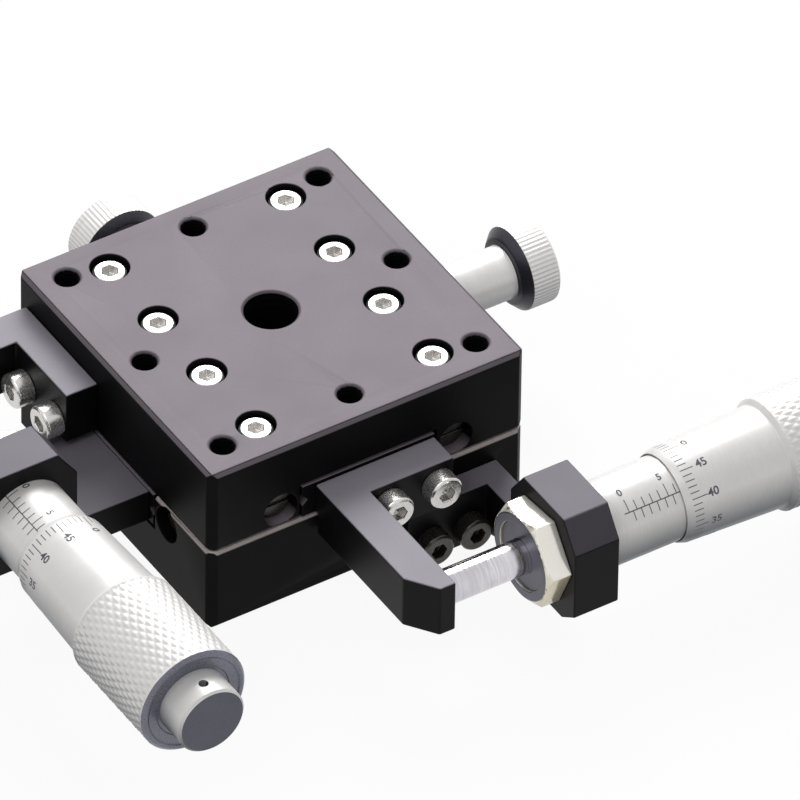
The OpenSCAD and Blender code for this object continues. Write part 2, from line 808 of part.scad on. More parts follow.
// Thimble whose front edge lies at the distance shown
module thimble(shown) color("gainsboro")
    translate([shown, 0, 0])
        turned([
            [0, thimble_bore_d / 2], [0, thimble_lip_d / 2], [thimble_lip, thimble_front_d / 2],
            [thimble_len - grip_len, thimble_rear_d / 2],
            [thimble_len - grip_len + grip_bevel, grip_d / 2],
            [thimble_len - grip_end_bevel, grip_d / 2], [thimble_len, grip_d / 2 - grip_end_bevel],
            [thimble_len, end_ring_d / 2], [thimble_len - end_ring_depth, end_ring_d / 2],
            [thimble_len - end_ring_depth, lead_d / 2 + face_gap],
            [thimble_len - end_wall, lead_d / 2 + face_gap], [thimble_len - end_wall, thimble_bore_d / 2]
        ]);

// End cap whose seat lies at the distance seat
module end_cap(seat) color("gainsboro")
    difference() {
        translate([seat - end_ring_depth, 0, 0])
            turned([
                [0, lead_d / 2 + face_gap], [0, cap_d / 2],
                [end_ring_depth + cap_len - cap_bevel, cap_d / 2],
                [end_ring_depth + cap_len, cap_d / 2 - cap_bevel], [end_ring_depth + cap_len, 0],
                [end_ring_depth + cap_bore_depth, 0], [end_ring_depth + cap_bore_depth, lead_d / 2 + face_gap]
            ]);
        translate([seat + cap_len / 2, 0, cap_d / 2 - cap_hole_depth])
            cylinder(d = cap_hole_d, h = cap_hole_depth + over);
    }

// Knob along +X whose screw enters the stage's side face at x = 0
module lock_knob() color("gainsboro") {
    thread_len = half_w - rail_seat - lock_pad_len - 2 * face_gap;
    turned([
        [-thread_len + face_gap, 0], [-thread_len + face_gap, lock_d / 2 - fit_gap],
        [knob_gap, lock_d / 2 - fit_gap], [knob_gap, neck_d / 2], [knob_gap + neck_len, neck_d / 2],
        [knob_gap + neck_len, knob_d / 2 - knob_back_bevel],
        [knob_gap + neck_len + knob_back_bevel, knob_d / 2],
        [knob_gap + neck_len + knob_len - knob_front_bevel, knob_d / 2],
        [knob_gap + neck_len + knob_len, knob_d / 2 - knob_front_bevel],
        [knob_gap + neck_len + knob_len, knob_dish_d / 2],
        [knob_gap + neck_len + knob_len - knob_dish, knob_dish_d / 2 - knob_dish],
        [knob_gap + neck_len + knob_len - knob_dish, 0]
    ]);
}

module lock_pad() color("goldenrod")
    translate([rail_seat - half_w + face_gap, 0, 0])
        rotate([0, 90, 0])
            cylinder(d = lock_d - 2 * fit_gap, h = lock_pad_len);

// The table's lock holds the Y axis and stands on +X, the base's lock holds the X axis and stands on +Y
module at_y_lock()
    translate([half_w, 0, y_lock_z])
        children();

module at_x_lock()
    translate([0, half_w, x_lock_z])
        rotate([0, 0, 90])
            children();

// Extension spring along X: a hook round each pin, then open turns between them
coil_start = spring_anchor + hook_straight;
coil_end = spring_far - hook_straight;
coil_rings = spring_turns * rings_per_turn;

// Points of the wire's middle, each with the direction that points away from its turn's centre
function hook_path(pin_x, from, to) = [
    for (i = [0:hook_rings])
        let (a = from + (to - from) * i / hook_rings)
            [[pin_x + hook_r * cos(a), hook_r * sin(a), 0], [cos(a), sin(a), 0]]
];
function coil_path() = [
    for (i = [0:coil_rings])
        let (a = 360 * i / rings_per_turn)
            [[coil_start + (coil_end - coil_start) * i / coil_rings, spring_r * cos(a), spring_r * sin(a)],
             [0, cos(a), sin(a)]]
];
wire_path = concat(
    hook_path(spring_anchor, hook_from, hook_join),
    coil_path(),
    hook_path(spring_far, hook_join, hook_to)
);

function unit(v) = v / norm(v);
function ring_points(path, i) =
    let (
        here = path[i],
        before = path[max(i - 1, 0)][0],
        after = path[min(i + 1, len(path) - 1)][0],
        run = unit(after - before),
        out = unit(here[1] - run * (here[1] * run)),
        side = cross(run, out)
    )
    [for (s = [0:tube_sides - 1])
        let (a = 360 * s / tube_sides)
            here[0] + spring_wire / 2 * (cos(a) * out + sin(a) * side)];

module spring_wire_tube(path) {
    rings = len(path);
    points = [for (i = [0:rings - 1]) each ring_points(path, i)];
    walls = [
        for (i = [0:rings - 2], s = [0:tube_sides - 1])
            let (
                a = i * tube_sides + s,
                b = i * tube_sides + (s + 1) % tube_sides,
                c = a + tube_sides,
                d = b + tube_sides
            )
            each [[a, c, b], [b, c, d]]
    ];
    first = [for (s = [1:tube_sides - 2]) [0, s, s + 1]];
    last_base = (rings - 1) * tube_sides;
    last = [for (s = [1:tube_sides - 2]) [last_base, last_base + s + 1, last_base + s]];
    polyhedron(points = points, faces = concat(walls, first, last));
}

module x_return_spring() color("silver")
    translate([0, 0, x_spring_z])
        spring_wire_tube(wire_path);

module y_return_spring() color("silver")
    translate([0, 0, y_spring_z])
        rotate([0, 0, 90])
            spring_wire_tube(wire_path);

module x_base_spring_pin() color("silver")
    translate([spring_far, 0, floor_z - pin_seat])
        cylinder(d = pin_d - 2 * face_gap, h = x_spring_z + slot_half - 2 * pin_room - floor_z + pin_seat);

module x_carriage_spring_pin() color("silver")
    translate([spring_anchor, 0, floor_z + pin_room])
        cylinder(d = pin_d - 2 * face_gap, h = x_spring_z + slot_half - 2 * pin_room + pin_seat - floor_z);

module y_carriage_spring_pin() color("silver")
    translate([0, spring_anchor, y_spring_z - slot_half + pin_room - pin_seat])
        cylinder(d = pin_d - 2 * face_gap, h = ceiling_z - y_spring_z + slot_half - 2 * pin_room + pin_seat);

module y_table_spring_pin() color("silver")
    translate([0, spring_far, y_spring_z - slot_half + 2 * pin_room])
        cylinder(d = pin_d - 2 * face_gap, h = ceiling_z - y_spring_z + slot_half - 2 * pin_room + pin_seat);

base();
carriage();
table();
base_rail(-1);  // base_rail_front
base_rail(1);  // base_rail_rear
table_rail(-1);  // table_rail_left
table_rail(1);  // table_rail_right
base_rail_screws();
table_rail_screws();
base_rail_end_screws();
table_rail_end_screws();
x_cage(-1);  // x_cage_front
x_cage(1);  // x_cage_rear
y_cage(-1);  // y_cage_left
y_cage(1);  // y_cage_right
x_rollers();
y_rollers();
x_bracket();
y_bracket();
x_bracket_screws();
y_bracket_screws();
x_arm();
y_arm();
x_arm_screws();
y_arm_screws();
at_x_mic() sleeve();  // x_sleeve
at_y_mic() sleeve();  // y_sleeve
at_x_mic() clamp_nut();  // x_clamp_nut
at_y_mic() clamp_nut();  // y_clamp_nut
at_x_mic() feed_nut();  // x_feed_nut
at_y_mic() feed_nut();  // y_feed_nut
at_x_mic() spindle(x_arm_face - x_block_face);  // x_spindle
at_y_mic() spindle(y_block_face - y_arm_face);  // y_spindle
at_x_mic() lead_screw(x_shown);  // x_lead_screw
at_y_mic() lead_screw(y_shown);  // y_lead_screw
at_x_mic() thimble(x_shown);  // x_thimble
at_y_mic() thimble(y_shown);  // y_thimble
at_x_mic() end_cap(x_shown + thimble_len);  // x_end_cap
at_y_mic() end_cap(y_shown + thimble_len);  // y_end_cap
at_x_lock() lock_knob();  // x_lock_knob
at_y_lock() lock_knob();  // y_lock_knob
at_x_lock() lock_pad();  // x_lock_pad
at_y_lock() lock_pad();  // y_lock_pad
x_return_spring();
y_return_spring();
x_base_spring_pin();
x_carriage_spring_pin();
y_carriage_spring_pin();
y_table_spring_pin();
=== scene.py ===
"""Looks of the two-axis manual linear stage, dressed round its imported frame."""

import json
import logging
import math
from collections.abc import Callable
from dataclasses import dataclass, field, replace
from enum import Enum
from typing import ClassVar

import bmesh
import bpy
import numpy as np
from mathutils import Matrix, Vector


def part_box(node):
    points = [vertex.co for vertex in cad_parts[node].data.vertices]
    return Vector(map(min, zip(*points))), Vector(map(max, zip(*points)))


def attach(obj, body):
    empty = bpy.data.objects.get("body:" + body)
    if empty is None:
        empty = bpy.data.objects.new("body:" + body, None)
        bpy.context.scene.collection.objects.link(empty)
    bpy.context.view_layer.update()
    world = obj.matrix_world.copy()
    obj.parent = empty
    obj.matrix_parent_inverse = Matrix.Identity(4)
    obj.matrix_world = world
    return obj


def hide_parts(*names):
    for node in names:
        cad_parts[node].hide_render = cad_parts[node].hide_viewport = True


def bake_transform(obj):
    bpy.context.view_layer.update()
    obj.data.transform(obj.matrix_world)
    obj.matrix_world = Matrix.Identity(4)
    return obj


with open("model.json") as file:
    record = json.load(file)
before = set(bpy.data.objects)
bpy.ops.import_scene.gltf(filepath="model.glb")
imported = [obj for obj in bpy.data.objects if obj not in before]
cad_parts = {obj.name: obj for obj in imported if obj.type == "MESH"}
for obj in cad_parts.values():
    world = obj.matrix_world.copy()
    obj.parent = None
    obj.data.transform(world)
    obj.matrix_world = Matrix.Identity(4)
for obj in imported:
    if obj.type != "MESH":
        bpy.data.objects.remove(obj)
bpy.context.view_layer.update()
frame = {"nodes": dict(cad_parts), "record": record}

LOG = logging.getLogger("stage")
MM = 0.001
MERGE_M = 2e-7
CLOSE_M = 1e-7
SLIGHT = 1e-9
RECORD = frame["record"]
BODY_OF = {node: body for body, nodes in RECORD["behaviour"]["bodies"].items() for node in nodes}
Mesh, Socket, Tree = bpy.types.Mesh, bpy.types.NodeSocket, bpy.types.NodeTree
Array = np.ndarray
Carve = Callable[[Array, Array, Array], Array]
Radius = Callable[[Array], Array]


def linear(code: str) -> tuple[float, float, float, float]:
    """Turns an sRGB hex value to a linear colour: c / 12.92 when dark, else ((c + 0.055) / 1.055) ** 2.4.

    Args:
        code: Six hex digits.

    Returns:
        Red, green, blue and an alpha of one.
    """
    parts = [int(code[i:i + 2], 16) / 255 for i in (0, 2, 4)]
    red, green, blue = (c / 12.92 if c <= 0.04045 else ((c + 0.055) / 1.055) ** 2.4 for c in parts)
    return red, green, blue, 1.0


def add_node(tree: Tree, kind: str, values: dict | None = None, links: dict | None = None) -> bpy.types.Node:
    """Adds a shader node with its settings and its incoming links.

    Args:
        tree: The node tree that takes the node.
        kind: The node's type name.
        values: Settings or socket values, by name or by number.
        links: Output sockets that feed its inputs, by name or by number.

    Returns:
        The new node.
    """
    node = tree.nodes.new(kind)
    for key, value in (values or {}).items():
        if isinstance(key, str) and hasattr(node, key):
            setattr(node, key, value)
        else:
            node.inputs[key].default_value = value
    for key, source in (links or {}).items():
        tree.links.new(source, node.inputs[key])
    return node


class Lay(Enum):
    """How far a surface's fine marks stretch along X, Y and Z, by the way it was made."""

    EVEN = (1.0, 1.0, 1.0)
    ALONG_X = (0.04, 1.0, 1.0)
    ALONG_Y = (1.0, 0.04, 1.0)
    ROUND_X = (1.0, 0.08, 0.08)
    ROUND_Y = (0.08, 1.0, 0.08)


@dataclass(frozen=True)
class Finish:
    """A finish with fine marks of a real size, which move its colour, its roughness and its bump.

    A bloom is the paler colour of faces that look up. It is painted in by the normal's Z, for the sheen
    that the photograph shows there and that the lamps alone don't give.
    """

    name: str
    colour: str
    worn: str
    metallic: float
    roughness: float
    grain_mm: float
    bump_mm: float
    lay: Lay = Lay.EVEN
    specular: float = 0.5
    spread: float = 0.08
    cloud_mm: float = 7.0
    bloom: str = ""
    bloom_from: float = 0.35
    bloom_full: float = 1.0
    bloom_above_mm: float = -1.0

    grain_detail: ClassVar[float] = 3.0
    grain_rough: ClassVar[float] = 0.6
    grain_low: ClassVar[float] = 0.3
    grain_high: ClassVar[float] = 0.7
    cloud_detail: ClassVar[float] = 2.0
    worn_from: ClassVar[float] = 0.12
    worn_full: ClassVar[float] = 0.4
    bloom_least: ClassVar[float] = 0.88

    def marks(self, tree: Tree, place: Socket) -> tuple[Socket, Socket]:
        """Makes the fine marks and the wear, which is the marks times a slow cloud, spread to 0 to 1.

        Args:
            tree: The material's node tree.
            place: The object coordinates.

        Returns:
            The height of the marks and the share of the worn colour.
        """
        per_grain = tuple(share / (self.grain_mm * MM) for share in self.lay.value)
        stretched = add_node(tree, "ShaderNodeMapping", {"Scale": per_grain}, {"Vector": place})
        grain = add_node(tree, "ShaderNodeTexNoise",
                         {"Scale": 1.0, "Detail": self.grain_detail, "Roughness": self.grain_rough},
                         {"Vector": stretched.outputs[0]}).outputs["Fac"]
        cloud = add_node(tree, "ShaderNodeTexNoise",
                         {"Scale": 1 / (self.cloud_mm * MM), "Detail": self.cloud_detail},
                         {"Vector": place}).outputs["Fac"]
        both = add_node(tree, "ShaderNodeMath", {"operation": "MULTIPLY"}, {0: grain, 1: cloud}).outputs[0]
        wear = add_node(tree, "ShaderNodeMapRange",
                        {"From Min": self.worn_from, "From Max": self.worn_full, "To Min": 0.0,
                         "To Max": 1.0}, {"Value": both}).outputs[0]
        return grain, wear

    def bloomed(self, tree: Tree, place: Socket, wear: Socket, colour: Socket) -> Socket:
        """Paints upward faces: the bloom's share is slope times patches, above its height, and else nought.

        Args:
            tree: The material's node tree.
            place: The object coordinates.
            wear: The share of the worn colour, which makes the patches.
            colour: The colour under the bloom.

        Returns:
            The colour with its bloom.
        """
        normal = add_node(tree, "ShaderNodeNewGeometry").outputs["Normal"]
        upward = add_node(tree, "ShaderNodeSeparateXYZ", links={0: normal}).outputs["Z"]
        slope = add_node(tree, "ShaderNodeMapRange",
                         {"From Min": self.bloom_from, "From Max": self.bloom_full},
                         {"Value": upward}).outputs[0]
        height = add_node(tree, "ShaderNodeSeparateXYZ", links={0: place}).outputs["Z"]
        high = add_node(tree, "ShaderNodeMath", {"operation": "GREATER_THAN", 1: self.bloom_above_mm * MM},
                        {0: height}).outputs[0]
        patches = add_node(tree, "ShaderNodeMapRange", {"To Min": self.bloom_least, "To Max": 1.0},
                           {"Value": wear}).outputs[0]
        even = add_node(tree, "ShaderNodeMath", {"operation": "MULTIPLY"}, {0: slope, 1: high}).outputs[0]
        share = add_node(tree, "ShaderNodeMath", {"operation": "MULTIPLY"},
                         {0: even, 1: patches}).outputs[0]
        return add_node(tree, "ShaderNodeMix", {"data_type": "RGBA", 7: linear(self.bloom)},
                        {0: share, 6: colour}).outputs[2]

    def material(self) -> bpy.types.Material:
        """Builds the material, or returns it where it is already made."""
        made = bpy.data.materials.get(self.name)
        if made:
            return made
        material = bpy.data.materials.new(self.name)
        material.use_nodes = True
        tree = material.node_tree
        tree.nodes.clear()
        place = add_node(tree, "ShaderNodeTexCoord").outputs["Object"]
        grain, wear = self.marks(tree, place)
        colour = add_node(tree, "ShaderNodeMix", {"data_type": "RGBA", 6: linear(self.colour),
                                                  7: linear(self.worn)}, {0: wear}).outputs[2]
        # Faces that look up take a paler colour by their normal's Z: a painted highlight for the lamps'
        # sheen
        if self.bloom:
            colour = self.bloomed(tree, place, wear, colour)
        rough = add_node(tree, "ShaderNodeMapRange",
                         {"From Min": self.grain_low, "From Max": self.grain_high,
                          "To Min": self.roughness - self.spread, "To Max": self.roughness + self.spread},
                         {"Value": grain}).outputs[0]
        bump = add_node(tree, "ShaderNodeBump", {"Strength": 1.0, "Distance": self.bump_mm * MM},
                        {"Height": grain}).outputs[0]
        shader = add_node(tree, "ShaderNodeBsdfPrincipled",
                          {"Metallic": self.metallic, "Specular IOR Level": self.specular},
                          {"Base Color": colour, "Roughness": rough, "Normal": bump})
        add_node(tree, "ShaderNodeOutputMaterial", links={"Surface": shader.outputs[0]})
        return material


# Sulphuric-anodised plate, dyed black after a fine bead blast: dark sides, with a grey painted sheen on
# faces that look up
BLACK_ANODISED = Finish("black_anodised_aluminium", "080708", "100f11", metallic=0.0, roughness=0.45,
                        grain_mm=0.16, bump_mm=0.004, specular=0.05, spread=0.05, bloom="918990")
# The base, whose narrow upward faces at the joint, above 10.4 mm, take the palest painted highlight
BLACK_BASE = replace(BLACK_ANODISED, name="black_anodised_base", bloom="f4e9e7", bloom_from=0.2,
                     bloom_above_mm=10.4)
# The same dye on the arms, finer blasted, so they reflect a little more, with a paler grey painted sheen on
# faces that look up
BLACK_ARM = Finish("black_anodised_arm", "0a090b", "121114", metallic=0.0, roughness=0.4,
                   grain_mm=0.14, bump_mm=0.003, specular=0.1, spread=0.05, bloom="9f9ba4")
# The blocks, blasted a little coarser, with a dimmer grey painted sheen on faces that look up
BLACK_BLOCK = replace(BLACK_ARM, name="black_anodised_block", roughness=0.42, grain_mm=0.16, bump_mm=0.004,
                      bloom="7e7a83")
# Black-oxide cap screws of the brackets and slotted stops of the rails
BLACK_SCREW = Finish("black_oxide_screw", "3a3836", "55524f", metallic=0.7, roughness=0.3, grain_mm=0.18,
                     bump_mm=0.0012)
# Bearing steel, surface ground: fine lines the way the wheel ran
GROUND_X = Finish("bearing_steel_ground_x", "8d8d90", "a5a5a8", metallic=1.0, roughness=0.3, grain_mm=0.12,
                  bump_mm=0.003, lay=Lay.ALONG_X)
GROUND_Y = replace(GROUND_X, name="bearing_steel_ground_y", lay=Lay.ALONG_Y)
# Satin hard chrome on turned steel: milky, with marks round the axis, a pale painted highlight on faces that
# look up, and a dark grey base colour that stands as painted shade on the sides and below
CHROME_X = Finish("satin_chrome_x", "4c5056", "5a5e64", metallic=0.15, roughness=0.36, grain_mm=0.12,
                  bump_mm=0.0012, lay=Lay.ROUND_X, spread=0.05, bloom="eceae8", bloom_from=-0.35,
                  bloom_full=0.45)
CHROME_Y = replace(CHROME_X, name="satin_chrome_y", lay=Lay.ROUND_Y)
# Dark steel on the end caps' faces and, a little paler, on the ring at a thimble's end; on the nuts' inner
# faces, the sleeves' ends behind the nuts and the caps' tommy-bar holes the same dark finish is painted
# shade and a painted dark reflection
DARK_END_AND_SHADE = Finish("dark_steel_end_and_painted_shade", "4a4a55", "5a5a66", metallic=0.5, roughness=0.34, grain_mm=0.2,
                   bump_mm=0.003)
RING_END = replace(DARK_END_AND_SHADE, name="dark_steel_ring", colour="6b6b78", worn="7c7c88", roughness=0.3)
# Centreless-ground spindle: near mirror, drawn lines round it
SPINDLE_X = Finish("spindle_steel_x", "b9b6bb", "d8d6da", metallic=1.0, roughness=0.16, grain_mm=0.25,
                   bump_mm=0.002, lay=Lay.ROUND_X)
SPINDLE_Y = replace(SPINDLE_X, name="spindle_steel_y", lay=Lay.ROUND_Y)
# Bright nickel on brass: warm white, with a near-white painted highlight on faces that look up
NICKEL = Finish("nickel_on_brass", "cfc6a8", "e6dfc8", metallic=0.45, roughness=0.16, grain_mm=0.3,
                bump_mm=0.0015, bloom="fffcf4", bloom_from=-0.3, bloom_full=0.5)
# Stainless cap screws, cold headed and tumbled
SCREW = Finish("stainless_screw", "cccac8", "e2e0de", metallic=0.85, roughness=0.22, grain_mm=0.18,
               bump_mm=0.0012)
# Steel knob, turned and lightly blasted, with a painted highlight on faces that look up and a dark back to
# its head
KNOB_X = Finish("knob_steel_x", "84868a", "94969a", metallic=0.3, roughness=0.38, grain_mm=0.2,
                bump_mm=0.003, lay=Lay.ROUND_X, bloom="f0eeec", bloom_from=-0.5, bloom_full=0.5)
KNOB_Y = replace(KNOB_X, name="knob_steel_y", lay=Lay.ROUND_Y)
KNOB_BACK = Finish("knob_dark_back", "34343a", "44444c", metallic=0.6, roughness=0.36, grain_mm=0.2,
                   bump_mm=0.004)
# Rolled brass sheet and turned brass
BRASS = Finish("rolled_brass", "b08d4a", "c7a662", metallic=1.0, roughness=0.28, grain_mm=0.2,
               bump_mm=0.003)
# Hard-drawn spring wire, rollers and dowel pins
WIRE = Finish("spring_wire", "86868a", "a0a0a4", metallic=1.0, roughness=0.25, grain_mm=0.15, bump_mm=0.002)
# Black enamel rubbed into engraved lines
INK = Finish("black_engraving_enamel", "4c4c55", "62626c", metallic=0.0, roughness=0.55, grain_mm=0.1,
             bump_mm=0.001)


def weld(mesh: Mesh, outward: bool) -> None:
    """Merges doubled points, closes poles and, where asked, turns every face outwards.

    Args:
        mesh: The mesh that is cleaned.
        outward: Whether the normals are worked out again.
    """
    work = bmesh.new()
    work.from_mesh(mesh)
    bmesh.ops.remove_doubles(work, verts=work.verts, dist=MERGE_M)
    bmesh.ops.dissolve_degenerate(work, edges=work.edges, dist=CLOSE_M)
    if outward:
        bmesh.ops.recalc_face_normals(work, faces=work.faces)
    work.to_mesh(mesh)
    work.free()


def smooth(mesh: Mesh, degrees: float) -> None:
    """Shades a mesh smooth, with edges sharp past an angle.

    Args:
        mesh: The mesh.
        degrees: The angle in degrees.
    """
    mesh.shade_smooth()
    mesh.set_sharp_from_angle(angle=math.radians(degrees))


def new_piece(node: str, ending: str, mesh: Mesh, finish: Finish, rides: bool = True,
              stands_in: bool = True) -> bpy.types.Object:
    """Links a mesh as a piece named for its node, with its finish as its one material.

    Args:
        node: The frame's node that it belongs to.
        ending: What its name adds to the node's.
        mesh: Its mesh, in place in the frame.
        finish: Its finish.
        rides: Whether it rides on the node's body, or stays where it is.
        stands_in: Whether it replaces the node.

    Returns:
        The new object.
    """
    piece = bpy.data.objects.new(f"{node}_{ending}", mesh)
    bpy.context.scene.collection.objects.link(piece)
    mesh.materials.clear()
    mesh.materials.append(finish.material())
    if rides:
        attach(piece, BODY_OF[node])
    if stands_in:
        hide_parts(node)
    return piece


def grid_mesh(name: str, grid: Array) -> Mesh:
    """Makes a mesh from a grid of points that is closed round its second side.

    Face (i, j) joins the points (i, j), (i, j + 1), (i + 1, j + 1) and (i + 1, j), with j taken round.

    Args:
        name: The mesh's name.
        grid: Points, steps along by steps round by three.

    Returns:
        The mesh, welded, with its faces outwards.
    """
    rows, columns, _ = grid.shape
    i, j = np.meshgrid(np.arange(rows - 1), np.arange(columns), indexing="ij")
    k, near, far = (j + 1) % columns, i * columns, (i + 1) * columns
    faces = np.stack([near + j, near + k, far + k, far + j], axis=-1)
    mesh = bpy.data.meshes.new(name)
    mesh.from_pydata(grid.reshape(-1, 3).tolist(), [], faces.reshape(-1, 4).tolist())
    weld(mesh, outward=True)
    return mesh


def eased(profile: Array, radius: float, steps: int = 4, most: float = 0.45) -> Array:
    """Rounds the corners of an open profile.

    Each corner v becomes (1 - t)^2 a + 2 t (1 - t) v + t^2 b, where a and b lie on its two sides.

    Args:
        profile: Points, n by 2.
        radius: How far from the corner the curve starts.
        steps: Points on each curve.
        most: The largest share of a side that a curve takes.

    Returns:
        The rounded profile.
    """
    t = np.linspace(0, 1, steps)[:, None]
    parts = [profile[:1]]
    for before, corner, after in zip(profile[:-2], profile[1:-1], profile[2:]):
        back, ahead = before - corner, after - corner
        reach = min(radius, most * np.linalg.norm(back), most * np.linalg.norm(ahead))
        a = corner + back / np.linalg.norm(back) * reach
        b = corner + ahead / np.linalg.norm(ahead) * reach
        parts.append((1 - t) ** 2 * a + 2 * t * (1 - t) * corner + t ** 2 * b)
    parts.append(profile[-1:])
    return np.vstack(parts)


def dense(profile: Array, start: float, end: float, step: float) -> Array:
    """Adds points at even steps to the outside of a profile between two stations.

    Args:
        profile: Points, n by 2, as station and radius.
        start: First station.
        end: Last station.
        step: The distance between added points.

    Returns:
        The profile with more points.
    """
    parts = [profile[:1]]
    for a, b in zip(profile[:-1], profile[1:]):
        inside = min(a[0], b[0]) >= start - SLIGHT and max(a[0], b[0]) <= end + SLIGHT
        count = max(1, math.ceil(np.linalg.norm(b - a) / step)) if inside else 1
        parts.append(a + (b - a) * (np.arange(1, count + 1) / count)[:, None])
    return np.vstack(parts)


def zigzag(value: Array) -> Array:
    """Goes from 0 at whole numbers to 1 halfway between them, in straight lines: 2 |x - round(x)|."""
    return 2 * np.abs(value - np.round(value))


@dataclass
class Axis:
    """The line of a micrometer or knob: its own +X lies along it, away from the stage."""

    origin: Vector
    turn_deg: float

    def matrix(self) -> Matrix:
        """Gives the matrix from the axis's own frame to the shared frame."""
        return Matrix.Translation(self.origin) @ Matrix.Rotation(math.radians(self.turn_deg), 4, "Z")

    def direction(self) -> Array:
        """Gives the axis's direction in the shared frame."""
        return np.array(self.matrix())[:3, 0]

    def place(self, points: Array) -> Array:
        """Moves points from the axis's own frame to the shared frame: p' = R p + o."""
        matrix = np.array(self.matrix())
        return points @ matrix[:3, :3].T + matrix[:3, 3]

    def revolve(self, profile: Array, columns: int, carve: Carve) -> Array:
        """Turns a profile round the axis: p = (s, r cos a, r sin a), with r lessened by carve(s, a, r).

        Args:
            profile: Points, n by 2, as station and radius, in metres.
            columns: Steps round the axis.
            carve: Depth of a pattern at a station, angle and radius.

        Returns:
            A grid of points in the shared frame.
        """
        angle = np.linspace(0, 2 * np.pi, columns, endpoint=False)
        s, a = np.meshgrid(profile[:, 0], angle, indexing="ij")
        r = np.repeat(profile[:, 1:2], columns, axis=1)
        r = r - carve(s, a, r)
        grid = np.stack([s, r * np.cos(a), r * np.sin(a)], axis=-1)
        return self.place(grid)


def node_mesh(node: str) -> Mesh:
    """Copies a node's mesh and merges its loose triangles.

    Args:
        node: The node's name.

    Returns:
        The welded copy.
    """
    mesh = frame["nodes"][node].data.copy()
    weld(mesh, outward=False)
    return mesh


def paint_facing(mesh: Mesh, out: Array, finish: Finish, least: float = 0.9,
                 station: float = -1.0) -> None:
    """Gives the faces that look one way, past a station, a second finish.

    Args:
        mesh: The mesh, which has its first finish.
        out: The way they look, a unit vector.
        finish: Their finish.
        least: The least share of the way that a face's normal keeps.
        station: Where they start along the way, in metres.
    """
    mesh.materials.append(finish.material())
    count = len(mesh.polygons)
    centres, normals = np.empty(count * 3), np.empty(count * 3)
    mesh.polygons.foreach_get("center", centres)
    mesh.polygons.foreach_get("normal", normals)
    chosen = (centres.reshape(-1, 3) @ out > station) & (normals.reshape(-1, 3) @ out > least)
    mesh.polygons.foreach_set("material_index", chosen.astype(np.int32))


@dataclass
class MachinedPiece:
    """A milled, ground or headed piece: its node's solid with the sharp edges broken."""

    node: str
    finish: Finish
    edge_mm: float
    segments: int = 2
    flat_deg: float = 0.8
    sharp_deg: float = 28.0

    def build(self) -> bpy.types.Object:
        """Builds the piece with its edges broken by a bevel, and returns it."""
        mesh = node_mesh(self.node)
        work = bmesh.new()
        work.from_mesh(mesh)
        bmesh.ops.dissolve_limit(work, angle_limit=math.radians(self.flat_deg), verts=work.verts,
                                edges=work.edges)
        work.to_mesh(mesh)
        work.free()
        smooth(mesh, self.sharp_deg)
        piece = new_piece(self.node, "machined", mesh, self.finish)
        bevel = piece.modifiers.new("broken_edges", "BEVEL")
        bevel.width = self.edge_mm * MM
        bevel.segments = self.segments
        bevel.limit_method = "ANGLE"
        bevel.angle_limit = math.radians(self.sharp_deg)
        bevel.use_clamp_overlap = False
        bevel.harden_normals = True
        return piece


@dataclass(frozen=True)
class Engraving:
    """Sizes of the scales' lines and numbers, in millimetres."""

    line_half: float = 0.05
    base_half: float = 0.06
    base_start: float = -0.6
    base_end: float = 13.6
    half_turns: int = 27
    tick: float = 1.1
    long_tick: float = 1.5
    long_every: int = 10
    sleeve_numbers: tuple[int, ...] = (0, 5, 10)
    sleeve_size: float = 1.2
    sleeve_rise: float = 2.4
    division: float = 1.5
    fifth: float = 2.0
    tenth: float = 2.3
    division_gap: float = 0.05
    division_cut: float = 0.4
    number_every: int = 5
    thimble_size: float = 1.35
    thimble_station: float = 3.5
    stroke_share: float = 0.02
    letter_steps: int = 3
    long_edge: float = 0.45
    edge_cuts: int = 2
    line_parts: int = 6


